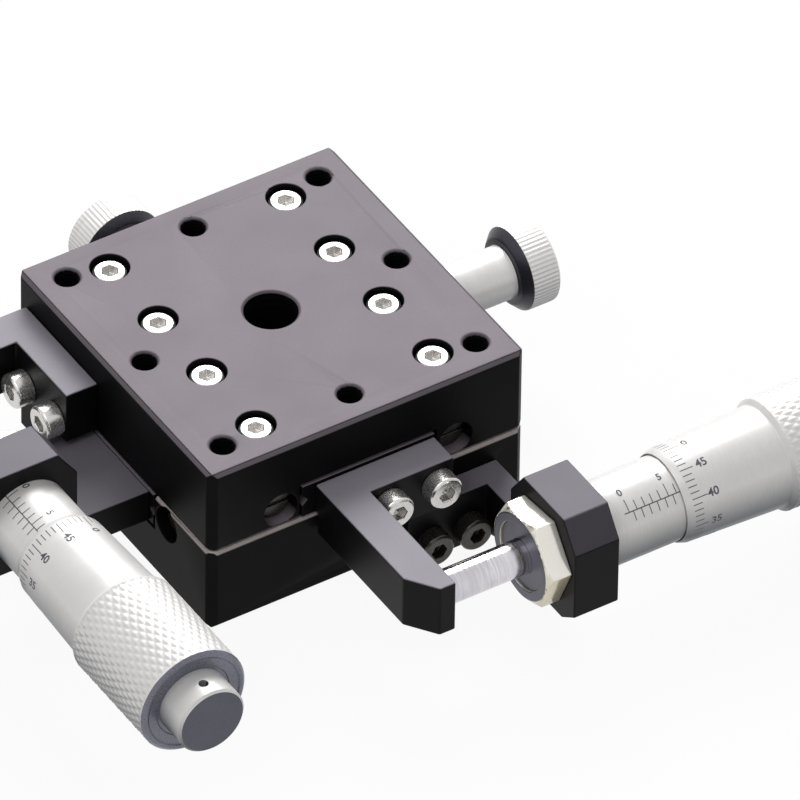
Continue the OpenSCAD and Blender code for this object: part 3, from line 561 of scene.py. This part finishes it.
@dataclass
class Micrometer:
    """A micrometer head: sleeve, thimble with its knurled grip, end cap and engraved scales.

    face_deg is where its base line lies round the axis.
    """

    prefix: str
    finish: Finish
    turn_deg: float
    face_deg: float
    reading_mm: float = 6.42
    division_count: int = 50
    turn_mm: float = 0.5
    thimble_mm: float = 27.6
    grip_mm: float = 14.7
    bevel_mm: float = 0.8
    lip_r_mm: float = 5.12
    front_r_mm: float = 5.4
    rear_r_mm: float = 5.9
    grip_r_mm: float = 6.5
    bore_r_mm: float = 5.0
    sleeve_r_mm: float = 4.9
    taper_end_mm: float = 0.5
    taper_drop_mm: float = 0.02
    grip_rise_mm: float = 0.55
    rear_break_mm: float = 0.4
    rim_r_mm: float = 5.75
    ring_out_r_mm: float = 5.55
    ring_r_mm: float = 4.5
    ring_drop_mm: float = 0.25
    end_wall_mm: float = 0.4
    stem_bore_r_mm: float = 1.9
    bore_mm: float = 21.6
    corner_mm: float = 0.12
    cap_wall_mm: float = 3.9
    cap_face_mm: float = 0.1
    knurl_mm: float = 1.0
    knurl_deg: float = 30.0
    knurl_depth_mm: float = 0.17
    knurl_from_mm: float = 0.5
    knurl_end_mm: float = 0.35
    knurl_fade_mm: float = 0.4
    knurl_skin_mm: float = 0.45
    fine_from_mm: float = 0.4
    fine_end_mm: float = 0.3
    fine_step_mm: float = 0.16
    columns: int = 320
    sharp_deg: float = 40.0
    ring_from_mm: float = 0.45
    ring_least: float = 0.5
    wall_least: float = 0.9
    hole_most: float = 0.5
    lift_mm: float = 0.016
    marks: Engraving = Engraving()
    front: float = field(init=False)
    cap_end: float = field(init=False)
    axis: Axis = field(init=False)

    def __post_init__(self) -> None:
        """Finds the axis, the thimble's front and the cap's end from the frame's nodes."""
        low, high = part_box(f"{self.prefix}_thimble")
        cap_low, cap_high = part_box(f"{self.prefix}_end_cap")
        middle = (low + high) / 2
        along_x = self.turn_deg == 0
        self.front = low.x if along_x else -high.y
        self.cap_end = cap_high.x if along_x else -cap_low.y
        origin = Vector((0, middle.y, middle.z)) if along_x else Vector((middle.x, 0, middle.z))
        self.axis = Axis(origin, self.turn_deg)

    def thimble_profile(self) -> Array:
        """Gives the thimble's closed profile, as station from its front and radius, in millimetres."""
        end, grip_start = self.thimble_mm, self.thimble_mm - self.grip_mm
        outside = np.array([
            [0.0, self.bore_r_mm], [0.0, self.lip_r_mm], [self.bevel_mm, self.front_r_mm],
            [grip_start - self.taper_end_mm, self.rear_r_mm - self.taper_drop_mm],
            [grip_start, self.rear_r_mm], [grip_start + self.grip_rise_mm, self.grip_r_mm],
            [end - self.rear_break_mm, self.grip_r_mm], [end, self.grip_r_mm - self.rear_break_mm],
            [end, self.rim_r_mm], [end - self.ring_drop_mm, self.ring_out_r_mm],
            [end - self.ring_drop_mm, self.ring_r_mm], [end - self.end_wall_mm, self.ring_r_mm],
            [end - self.end_wall_mm, self.stem_bore_r_mm], [self.bore_mm, self.stem_bore_r_mm],
            [self.bore_mm, self.bore_r_mm], [0.0, self.bore_r_mm],
        ])
        return eased(outside, self.corner_mm)

    def thimble_radius(self, station: Array | float) -> Array:
        """Gives the outside radius of the thimble's plain part at a station from its front, in mm."""
        return np.interp(station, [0, self.bevel_mm, self.thimble_mm - self.grip_mm],
                         [self.lip_r_mm, self.front_r_mm, self.rear_r_mm])

    def carve_grip(self, s: Array, a: Array, r: Array) -> Array:
        """Works out the diamond knurl's depth.

        Two families of grooves cross at an angle b to the axis: u, v = n a / 2 pi +- s tan b / p, and the
        depth is d (1 - min(zigzag(u), zigzag(v))), faded in over a short way at both ends of the grip.

        Args:
            s: Stations from the stage, in metres.
            a: Angles.
            r: Radii before carving.

        Returns:
            The depth at each point, in metres.
        """
        start = self.front + (self.thimble_mm - self.grip_mm + self.knurl_from_mm) * MM
        end = self.front + (self.thimble_mm - self.knurl_end_mm) * MM
        starts = round(2 * np.pi * self.grip_r_mm / self.knurl_mm)
        slant = (s - start) * math.tan(math.radians(self.knurl_deg)) / (self.knurl_mm * MM)
        u, v = starts * a / (2 * np.pi) + slant, starts * a / (2 * np.pi) - slant
        fade_m = self.knurl_fade_mm * MM
        fade = np.clip((s - start) / fade_m, 0, 1) * np.clip((end - s) / fade_m, 0, 1)
        outside = r > (self.grip_r_mm - self.knurl_skin_mm) * MM
        depth = self.knurl_depth_mm * MM * (1 - np.minimum(zigzag(u), zigzag(v)))
        return depth * fade * outside

    def build_thimble(self) -> None:
        """Builds the thimble, in place of its node."""
        grip_start = self.thimble_mm - self.grip_mm
        profile = dense(self.thimble_profile(), grip_start + self.fine_from_mm,
                        self.thimble_mm - self.fine_end_mm, self.fine_step_mm) * MM
        profile[:, 0] += self.front
        node = f"{self.prefix}_thimble"
        mesh = grid_mesh(f"{node}_knurled", self.axis.revolve(profile, self.columns, self.carve_grip))
        smooth(mesh, self.sharp_deg)
        new_piece(node, "knurled", mesh, self.finish)
        paint_facing(mesh, self.axis.direction(), RING_END, self.ring_least,
                     self.front + (self.thimble_mm - self.ring_from_mm) * MM)

    def build_cap(self) -> None:
        """Builds the end cap in place of its node, with true round normals and painted shade in its
        tommy-bar hole.

        A wall's normal at a point is the way from the axis to it: n = (p - ((p . d) d)) / r.
        """
        node = f"{self.prefix}_end_cap"
        mesh = node_mesh(node)
        out, origin = self.axis.direction(), np.array(self.axis.origin)
        new_piece(node, "turned", mesh, self.finish)
        paint_facing(mesh, out, DARK_END_AND_SHADE, station=self.cap_end - self.cap_face_mm * MM)
        normals = []
        for face in mesh.polygons:
            flat = np.array(face.normal)
            for vertex in face.vertices:
                away = np.array(mesh.vertices[vertex].co) - origin
                away -= out * (away @ out)
                radius = np.linalg.norm(away)
                on_wall = (radius > self.cap_wall_mm * MM
                           and flat @ away / max(radius, SLIGHT) > self.wall_least)
                normals.append(away / radius if on_wall else flat)
            # Faces inside the wall that don't look along the axis, the tommy-bar hole and the bore, take the
            # dark finish as painted shade
            middle = np.array(face.center) - origin
            middle -= out * (middle @ out)
            if np.linalg.norm(middle) < self.cap_wall_mm * MM and abs(flat @ out) < self.hole_most:
                face.material_index = 1
        mesh.shade_smooth()
        mesh.normals_split_custom_set([tuple(normal) for normal in normals])

    def build_sleeve(self) -> None:
        """Gives the sleeve's node its finish, with painted shade and a painted dark reflection on its end
        behind the clamp nut.
        """
        node = f"{self.prefix}_sleeve"
        finish_node(node, self.finish)
        paint_facing(frame["nodes"][node].data, -self.axis.direction(), DARK_END_AND_SHADE)

    def wrap(self, flat: Array, radius_mm: Array) -> Array:
        """Lays flat points on the round: p = (s, r cos a, r sin a), with a = face - y / r.

        Args:
            flat: Points, n by 2, as station in metres and height up the page in millimetres.
            radius_mm: The surface's radius at each point.

        Returns:
            Points in the shared frame, n by 3.
        """
        angle = math.radians(self.face_deg) - flat[:, 1] / radius_mm
        lifted = (radius_mm + self.lift_mm) * MM
        points = np.stack([flat[:, 0], lifted * np.cos(angle), lifted * np.sin(angle)], axis=-1)
        return self.axis.place(points)

    def digits(self, text: str, size_mm: float) -> tuple[Array, Array]:
        """Makes a number as flat triangles centred on the origin.

        Args:
            text: The number.
            size_mm: Its letter size.

        Returns:
            Points, n by 2, in millimetres, and triangles.
        """
        curve = bpy.data.curves.new("number", "FONT")
        curve.body, curve.size = text, size_mm
        curve.align_x, curve.align_y = "CENTER", "CENTER"
        curve.offset = self.marks.stroke_share * size_mm
        curve.resolution_u = self.marks.letter_steps
        letter = bpy.data.objects.new("number", curve)
        bpy.context.scene.collection.objects.link(letter)
        graph = bpy.context.evaluated_depsgraph_get()
        mesh = bpy.data.meshes.new_from_object(letter.evaluated_get(graph))
        work = bmesh.new()
        work.from_mesh(mesh)
        bmesh.ops.triangulate(work, faces=work.faces)
        long_edges = [e for e in work.edges if e.calc_length() > self.marks.long_edge]
        bmesh.ops.subdivide_edges(work, edges=long_edges, cuts=self.marks.edge_cuts)
        bmesh.ops.triangulate(work, faces=work.faces)
        work.verts.ensure_lookup_table()
        points = np.array([v.co[:2] for v in work.verts])
        triangles = np.array([[v.index for v in f.verts] for f in work.faces])
        work.free()
        bpy.data.objects.remove(letter)
        bpy.data.curves.remove(curve)
        bpy.data.meshes.remove(mesh)
        return points, triangles

    def short_pieces(self, lines: Array) -> Array:
        """Cuts each line across its longer side, so that it follows the round: x = x0 + (x1 - x0) k / n.

        Args:
            lines: Rows of start station, end station, low height and high height.

        Returns:
            The pieces, in rows of the same kind.
        """
        length, height = lines[:, 1] - lines[:, 0], lines[:, 3] - lines[:, 2]
        column = np.where(length > height, 0, 2)
        rows, index, parts = [], np.arange(len(lines)), self.marks.line_parts
        start, span = lines[index, column], np.maximum(length, height)
        for part in range(parts):
            piece = lines.copy()
            piece[index, column] = start + span * part / parts
            piece[index, column + 1] = start + span * (part + 1) / parts
            rows.append(piece)
        return np.vstack(rows)

    def add_scale(self, node: str, lines: Array, numbers: list[tuple[str, float, float, float]],
                  radius: Radius, zero: float) -> None:
        """Builds engraved lines and numbers as one piece that lies on a round surface.

        Args:
            node: The node whose surface it lies on, and whose body it rides.
            lines: Rows of start station, end station, low height and high height, in millimetres.
            numbers: Rows of text, size, station and height, in millimetres.
            radius: Gives the surface's radius at a station, in millimetres.
            zero: The station of zero, in metres.
        """
        corners = self.short_pieces(lines)[:, [0, 2, 1, 2, 1, 3, 0, 3]].reshape(-1, 2)
        faces = np.arange(len(corners)).reshape(-1, 4).tolist()
        flat = [corners]
        total = len(corners)
        for text, size, station, height in numbers:
            points, triangles = self.digits(text, size)
            flat.append(points + [station, height])
            faces += (triangles + total).tolist()
            total += len(points)
        points = np.vstack(flat)
        stations = points[:, 0] * MM + zero
        placed = self.wrap(np.stack([stations, points[:, 1]], axis=-1), radius(points[:, 0]))
        mesh = bpy.data.meshes.new(f"{node}_scale")
        mesh.from_pydata(placed.tolist(), [], faces)
        new_piece(node, "scale", mesh, INK, stands_in=False)

    def build_sleeve_scale(self) -> None:
        """Builds the sleeve's scale: whole millimetres above its base line and halves below it."""
        marks = self.marks
        half = np.arange(marks.half_turns)
        whole = half % 2 == 0
        tick = np.where(half % marks.long_every == 0, marks.long_tick, marks.tick)
        station = half * self.turn_mm
        low, high = np.where(whole, 0.0, -tick), np.where(whole, tick, 0.0)
        lines = np.stack([station - marks.line_half, station + marks.line_half, low, high], axis=-1)
        base = [marks.base_start, marks.base_end, -marks.base_half, marks.base_half]
        numbers = [(str(n), marks.sleeve_size, n, marks.sleeve_rise) for n in marks.sleeve_numbers]
        self.add_scale(f"{self.prefix}_sleeve", np.vstack([lines, [base]]), numbers,
                       lambda s: np.full(np.shape(s), self.sleeve_r_mm), self.front - self.reading_mm * MM)

    def build_thimble_scale(self) -> None:
        """Builds the thimble's divisions round its bevel, turned so that they show the reading."""
        marks = self.marks
        count = np.arange(self.division_count)
        shift = self.reading_mm % self.turn_mm / self.turn_mm
        turn = (count / self.division_count - shift + 0.5) % 1 - 0.5
        height = turn * 2 * np.pi * self.front_r_mm
        length = np.where(count % (2 * marks.number_every) == 0, marks.tenth,
                          np.where(count % marks.number_every == 0, marks.fifth, marks.division))
        first = np.full(len(count), self.bevel_mm + marks.division_gap)
        lines = np.stack([first, first + length - marks.division_cut, height - marks.line_half,
                          height + marks.line_half], axis=-1)
        lines = self.spread_lines(lines, self.thimble_radius(length) / self.front_r_mm)
        share = float(self.thimble_radius(marks.thimble_station)) / self.front_r_mm
        numbers = [(str(n), marks.thimble_size, marks.thimble_station, height[n] * share)
                   for n in range(0, self.division_count, marks.number_every)]
        self.add_scale(f"{self.prefix}_thimble", lines, numbers, self.thimble_radius, self.front)

    def spread_lines(self, lines: Array, share: Array) -> Array:
        """Keeps each division straight on the taper: its middle height times (1 + share) / 2.

        Args:
            lines: Rows of start station, end station, low height and high height.
            share: Each line's radius at its end over the front's.

        Returns:
            The rows with their new heights.
        """
        middle = (lines[:, 2] + lines[:, 3]) / 2
        half = (lines[:, 3] - lines[:, 2]) / 2
        scaled = middle * (1 + share) / 2
        return np.stack([lines[:, 0], lines[:, 1], scaled - half, scaled + half], axis=-1)

    def build(self) -> None:
        """Builds the whole micrometer head."""
        self.build_sleeve()
        self.build_thimble()
        self.build_cap()
        self.build_sleeve_scale()
        self.build_thimble_scale()
        LOG.info("%s micrometer dressed", self.prefix)


@dataclass
class LockKnob:
    """A lock knob: plain neck, dark chamfer, straight-knurled head with a shallow domed end."""

    node: str
    finish: Finish
    turn_deg: float
    plate_side_mm: float = 20.0
    gap_mm: float = 0.3
    neck_r_mm: float = 3.1
    neck_mm: float = 9.8
    head_r_mm: float = 4.9
    head_mm: float = 4.8
    back_mm: float = 1.0
    bevel_mm: float = 0.6
    rim_mm: float = 0.45
    dome_mm: float = 0.252
    dome_steps: int = 8
    shank_r_mm: float = 1.45
    shank_mm: float = 5.41
    corner_mm: float = 0.15
    fine_step_mm: float = 0.3
    teeth: int = 60
    tooth_steps: int = 6
    tooth_mm: float = 0.09
    tooth_skin_mm: float = 0.2
    sharp_deg: float = 40.0
    back_least: float = 0.4

    def profile(self) -> Array:
        """Gives the knob's profile in metres, from the shank's end to the middle of the domed end.

        The domed end is a parabola: s = end - h (r / R)^2, with h its height and R its rim's radius.
        """
        end, rim = self.neck_mm + self.head_mm, self.head_r_mm - self.rim_mm
        dome_r = np.linspace(rim, 0, self.dome_steps)
        dome = np.stack([end - self.dome_mm * (dome_r / rim) ** 2, dome_r], axis=-1)
        return eased(np.vstack([
            [[-self.shank_mm, 0], [-self.shank_mm, self.shank_r_mm], [self.gap_mm, self.shank_r_mm],
             [self.gap_mm, self.neck_r_mm], [self.neck_mm, self.neck_r_mm],
             [self.neck_mm, self.head_r_mm - self.back_mm], [self.neck_mm + self.back_mm, self.head_r_mm],
             [end - self.bevel_mm, self.head_r_mm]],
            dome,
        ]), self.corner_mm) * MM

    def build(self) -> None:
        """Builds the knob in place of its node."""
        low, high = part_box(self.node)
        middle = (low + high) / 2
        side = self.plate_side_mm * MM
        along_x = self.turn_deg == 0
        origin = Vector((side, middle.y, middle.z)) if along_x else Vector((middle.x, side, middle.z))
        axis = Axis(origin, self.turn_deg)
        start = (self.neck_mm + self.back_mm) * MM
        stop = (self.neck_mm + self.head_mm - self.bevel_mm) * MM
        profile = dense(self.profile(), start, stop, self.fine_step_mm * MM)

        def carve(s: Array, a: Array, r: Array) -> Array:
            """Gives the straight knurl's depth: d (1 - zigzag(n a / 2 pi)) along the head."""
            on_head = (s > start) & (s < stop) & (r > (self.head_r_mm - self.tooth_skin_mm) * MM)
            return self.tooth_mm * MM * (1 - zigzag(self.teeth * a / (2 * np.pi))) * on_head

        grid = axis.revolve(profile, self.teeth * self.tooth_steps, carve)
        mesh = grid_mesh(f"{self.node}_knurled", grid)
        smooth(mesh, self.sharp_deg)
        new_piece(self.node, "knurled", mesh, self.finish)
        paint_facing(mesh, -axis.direction(), KNOB_BACK, self.back_least)
        LOG.info("%s dressed", self.node)


@dataclass
class HoleThreads:
    """The threads that line the table's tapped holes."""

    pitch_mm: float = 0.5
    depth_mm: float = 0.1
    small_r_mm: float = 1.33
    small_mm: float = 5.0
    centre_r_mm: float = 2.93
    centre_mm: float = 5.6
    centre_pitch_mm: float = 1.0
    spacing_mm: float = 16.0
    lead_in_mm: float = 0.35
    columns: int = 40
    pitch_steps: int = 6
    sharp_deg: float = 60.0

    def wall(self, x: float, y: float, radius: float, length: float, pitch: float) -> Mesh:
        """Makes one threaded wall: r = R - d zigzag(z / p - a / 2 pi), with the angle a round it.

        Args:
            x: The hole's place along X, in millimetres.
            y: Its place along Y.
            radius: Its wall's radius.
            length: How deep the thread goes.
            pitch: The thread's pitch.

        Returns:
            The mesh of the wall, facing inwards.
        """
        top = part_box("table")[1].z / MM - self.lead_in_mm
        angle = np.linspace(0, 2 * np.pi, self.columns, endpoint=False)
        down = np.linspace(0, length, int(length / pitch * self.pitch_steps))
        z, a = np.meshgrid(down, angle, indexing="ij")
        r = radius - self.depth_mm * zigzag(z / pitch - a / (2 * np.pi))
        grid = np.stack([x + r * np.cos(a), y + r * np.sin(a), top - z], axis=-1) * MM
        mesh = grid_mesh("hole_thread", grid)
        mesh.flip_normals()
        return mesh

    def build(self) -> None:
        """Builds all the threads as one piece on the table."""
        step = self.spacing_mm
        places = [(x * step, y * step) for x in (-1, 0, 1) for y in (-1, 0, 1) if (x, y) != (0, 0)]
        meshes = [self.wall(x, y, self.small_r_mm, self.small_mm, self.pitch_mm) for x, y in places]
        meshes.append(self.wall(0, 0, self.centre_r_mm, self.centre_mm, self.centre_pitch_mm))
        work = bmesh.new()
        for mesh in meshes:
            work.from_mesh(mesh)
            bpy.data.meshes.remove(mesh)
        joined = bpy.data.meshes.new("table_hole_threads")
        work.to_mesh(joined)
        work.free()
        smooth(joined, self.sharp_deg)
        new_piece("table", "hole_threads", joined, BLACK_ANODISED, stands_in=False)
        LOG.info("threads cut in the table's holes")


@dataclass
class ReturnSpring:
    """A return spring whose ends lie on two bodies."""

    node: str
    fixed_body: str
    moving_body: str
    start_mm: tuple[float, float]
    end_mm: tuple[float, float]
    height_mm: float
    sharp_deg: float = 70.0

    def build(self) -> None:
        """Builds the spring in place of its node, fixed where it stands."""
        mesh = node_mesh(self.node)
        smooth(mesh, self.sharp_deg)
        piece = new_piece(self.node, "wound", mesh, WIRE, rides=False)
        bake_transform(piece)
        LOG.info("%s wound", self.node)


def finish_node(node: str, finish: Finish) -> None:
    """Gives a node that stays its finish.

    Args:
        node: The node's name.
        finish: Its finish.
    """
    mesh = frame["nodes"][node].data
    mesh.materials.clear()
    mesh.materials.append(finish.material())


@dataclass
class Studio:
    """White floor, lamps and the camera of the photograph."""

    table_top_mm: float = 22.0
    azimuth_deg: float = -32.65
    elevation_deg: float = 41.41
    roll_deg: float = 0.826
    distance_mm: float = 2063.0
    shift_right_mm: float = 13.916
    shift_up_mm: float = -9.756
    view_width_mm: float = 86.26
    sensor_mm: float = 36.0
    near_m: float = 0.05
    far_m: float = 20.0
    floor_m: float = 3.0
    floor_drop_m: float = 0.00005
    floor_glow: float = 0.93
    paper: str = "f4f4f4"
    world_light: float = 0.35
    key_m: float = 0.8
    key_size_m: float = 0.5
    key_w: float = 6.0
    fill_toward: tuple[float, float, float] = (-0.5, -0.2, 1.0)
    fill_m: float = 0.9
    fill_size_m: float = 0.6
    fill_w: float = 1.6

    def camera_axes(self) -> tuple[Vector, Vector, Vector]:
        """Gives the camera's right, up and back directions, with its roll."""
        a, e, r = (math.radians(v) for v in (self.azimuth_deg, self.elevation_deg, self.roll_deg))
        back = Vector((math.sin(a) * math.cos(e), -math.cos(a) * math.cos(e), math.sin(e)))
        right = Vector((math.cos(a), math.sin(a), 0))
        up = back.cross(right)
        return right * math.cos(r) + up * math.sin(r), up * math.cos(r) - right * math.sin(r), back

    def add_camera(self) -> None:
        """Places the camera where the photograph was taken from."""
        right, up, back = self.camera_axes()
        data = bpy.data.cameras.new("photo_camera")
        data.sensor_width = self.sensor_mm
        data.lens = self.sensor_mm * self.distance_mm / self.view_width_mm
        data.clip_start, data.clip_end = self.near_m, self.far_m
        camera = bpy.data.objects.new("photo_camera", data)
        bpy.context.scene.collection.objects.link(camera)
        spot = Vector((0, 0, self.table_top_mm)) + right * self.shift_right_mm
        spot += up * self.shift_up_mm + back * self.distance_mm
        turn = Matrix((right, up, back)).transposed().to_4x4()
        camera.matrix_world = Matrix.Translation(spot * MM) @ turn
        bpy.context.scene.camera = camera

    def add_lamp(self, name: str, direction: tuple[float, float, float], distance: float, size: float,
                 power: float) -> None:
        """Adds a square lamp that looks at the stage.

        Args:
            name: The lamp's name.
            direction: Where it stands, seen from the stage.
            distance: How far away it is, in metres.
            size: Its side, in metres.
            power: Its power in watts.
        """
        data = bpy.data.lights.new(name, "AREA")
        data.size, data.energy = size, power
        lamp = bpy.data.objects.new(name, data)
        bpy.context.scene.collection.objects.link(lamp)
        away = Vector(direction).normalized()
        lamp.location = away * distance
        lamp.rotation_mode = "QUATERNION"
        lamp.rotation_quaternion = away.to_track_quat("Z", "Y")

    def seen_directly(self, tree: Tree) -> Socket:
        """Gives one on camera, mirror and glass rays, and nought on the rays that light things."""
        path = add_node(tree, "ShaderNodeLightPath").outputs
        first = add_node(tree, "ShaderNodeMath", {"operation": "MAXIMUM"},
                         {0: path["Is Camera Ray"], 1: path["Is Glossy Ray"]}).outputs[0]
        return add_node(tree, "ShaderNodeMath", {"operation": "MAXIMUM"},
                        {0: first, 1: path["Is Transmission Ray"]}).outputs[0]

    def add_floor(self) -> None:
        """Adds the white floor, which still takes a faint shadow."""
        half = self.floor_m / 2
        mesh = bpy.data.meshes.new("floor")
        corners = [(-half, -half), (half, -half), (half, half), (-half, half)]
        mesh.from_pydata([(x, y, -self.floor_drop_m) for x, y in corners], [], [(0, 1, 2, 3)])
        floor = bpy.data.objects.new("floor", mesh)
        bpy.context.scene.collection.objects.link(floor)
        material = bpy.data.materials.new("white_paper")
        material.use_nodes = True
        tree = material.node_tree
        tree.nodes.clear()
        share = add_node(tree, "ShaderNodeMath", {"operation": "MULTIPLY", 1: self.floor_glow},
                         {0: self.seen_directly(tree)}).outputs[0]
        paper = add_node(tree, "ShaderNodeBsdfDiffuse", {"Color": linear(self.paper)}).outputs[0]
        glow = add_node(tree, "ShaderNodeEmission", {"Color": linear("ffffff"), "Strength": 1.0}).outputs[0]
        mixed = add_node(tree, "ShaderNodeMixShader", links={0: share, 1: paper, 2: glow}).outputs[0]
        add_node(tree, "ShaderNodeOutputMaterial", links={"Surface": mixed})
        mesh.materials.append(material)

    def add_world(self) -> None:
        """Sets a world that is white where it is seen and dimmer where it lights."""
        world = bpy.data.worlds.new("studio")
        bpy.context.scene.world = world
        world.use_nodes = True
        tree = world.node_tree
        tree.nodes.clear()
        strength = add_node(tree, "ShaderNodeMapRange", {"To Min": self.world_light, "To Max": 1.0},
                            {"Value": self.seen_directly(tree)}).outputs[0]
        light = add_node(tree, "ShaderNodeBackground", {"Color": linear("ffffff")},
                         {"Strength": strength}).outputs[0]
        add_node(tree, "ShaderNodeOutputWorld", links={"Surface": light})

    def build(self) -> None:
        """Sets up the whole studio."""
        bpy.context.scene.view_settings.view_transform = "Standard"
        self.add_floor()
        self.add_world()
        back = self.camera_axes()[2]
        self.add_lamp("key_behind", (-back.x, -back.y, back.z), self.key_m, self.key_size_m, self.key_w)
        self.add_lamp("fill_above", self.fill_toward, self.fill_m, self.fill_size_m, self.fill_w)
        self.add_camera()


def dress_machined() -> None:
    """Breaks the edges of every milled, ground or headed piece and gives it its finish.

    The clamp nuts' faces toward the arms are painted dark, as painted shade and a painted dark reflection.
    """
    # Finish, broken edge in millimetres, nodes
    groups = [
        (BLACK_ANODISED, 0.14, ("table",)),
        (BLACK_BASE, 0.14, ("base",)),
        (BLACK_ARM, 0.2, ("x_arm", "y_arm")),
        (BLACK_BLOCK, 0.16, ("x_bracket", "y_bracket")),
        (BLACK_ANODISED, 0.08, ("carriage",)),
        (GROUND_X, 0.08, ("base_rail_front", "base_rail_rear")),
        (GROUND_Y, 0.08, ("table_rail_left", "table_rail_right")),
        (SCREW, 0.1, ("table_rail_screws", "base_rail_screws")),
        (BLACK_SCREW, 0.06, ("table_rail_end_screws", "base_rail_end_screws")),
        (SCREW, 0.12, ("x_arm_screws", "y_arm_screws")),
        (BLACK_SCREW, 0.1, ("x_bracket_screws", "y_bracket_screws")),
    ]
    for finish, edge_mm, nodes in groups:
        for node in nodes:
            MachinedPiece(node, finish, edge_mm).build()
            LOG.info("%s machined", node)
    for node, inward in (("x_clamp_nut", (-1, 0, 0)), ("y_clamp_nut", (0, 1, 0))):
        nut = MachinedPiece(node, NICKEL, edge_mm=0.14).build()
        # The face toward the arm takes the dark finish: painted shade and a painted dark reflection
        paint_facing(nut.data, np.array(inward), DARK_END_AND_SHADE)
        LOG.info("%s machined", node)


def dress_plain() -> None:
    """Gives the spindles and the nodes inside the stage their finishes."""
    nodes_of = {
        SPINDLE_X: ("x_spindle", "x_lead_screw"),
        SPINDLE_Y: ("y_spindle", "y_lead_screw"),
        BRASS: ("x_feed_nut", "y_feed_nut", "x_lock_pad", "y_lock_pad",
                "x_cage_front", "x_cage_rear", "y_cage_left", "y_cage_right"),
        WIRE: ("x_rollers", "y_rollers", "x_base_spring_pin", "x_carriage_spring_pin",
               "y_carriage_spring_pin", "y_table_spring_pin"),
    }
    for finish, nodes in nodes_of.items():
        for node in nodes:
            finish_node(node, finish)
        LOG.info("%s given to %d inner nodes", finish.name, len(nodes))


def main() -> None:
    """Builds every sub-assembly in order."""
    logging.basicConfig(level=logging.INFO, format="%(message)s")
    dress_machined()
    dress_plain()
    Micrometer("x", CHROME_X, turn_deg=0, face_deg=134).build()
    Micrometer("y", CHROME_Y, turn_deg=-90, face_deg=121).build()
    LockKnob("y_lock_knob", KNOB_X, turn_deg=0).build()
    LockKnob("x_lock_knob", KNOB_Y, turn_deg=90).build()
    HoleThreads().build()
    ReturnSpring("x_return_spring", "base", "carriage", start_mm=(11.3, 0), end_mm=(-9.8, 0),
                 height_mm=8.1).build()
    ReturnSpring("y_return_spring", "carriage", "table", start_mm=(0, -9.8), end_mm=(0, 11.3),
                 height_mm=13.9).build()
    Studio().build()


if __name__ == "__main__":
    main()
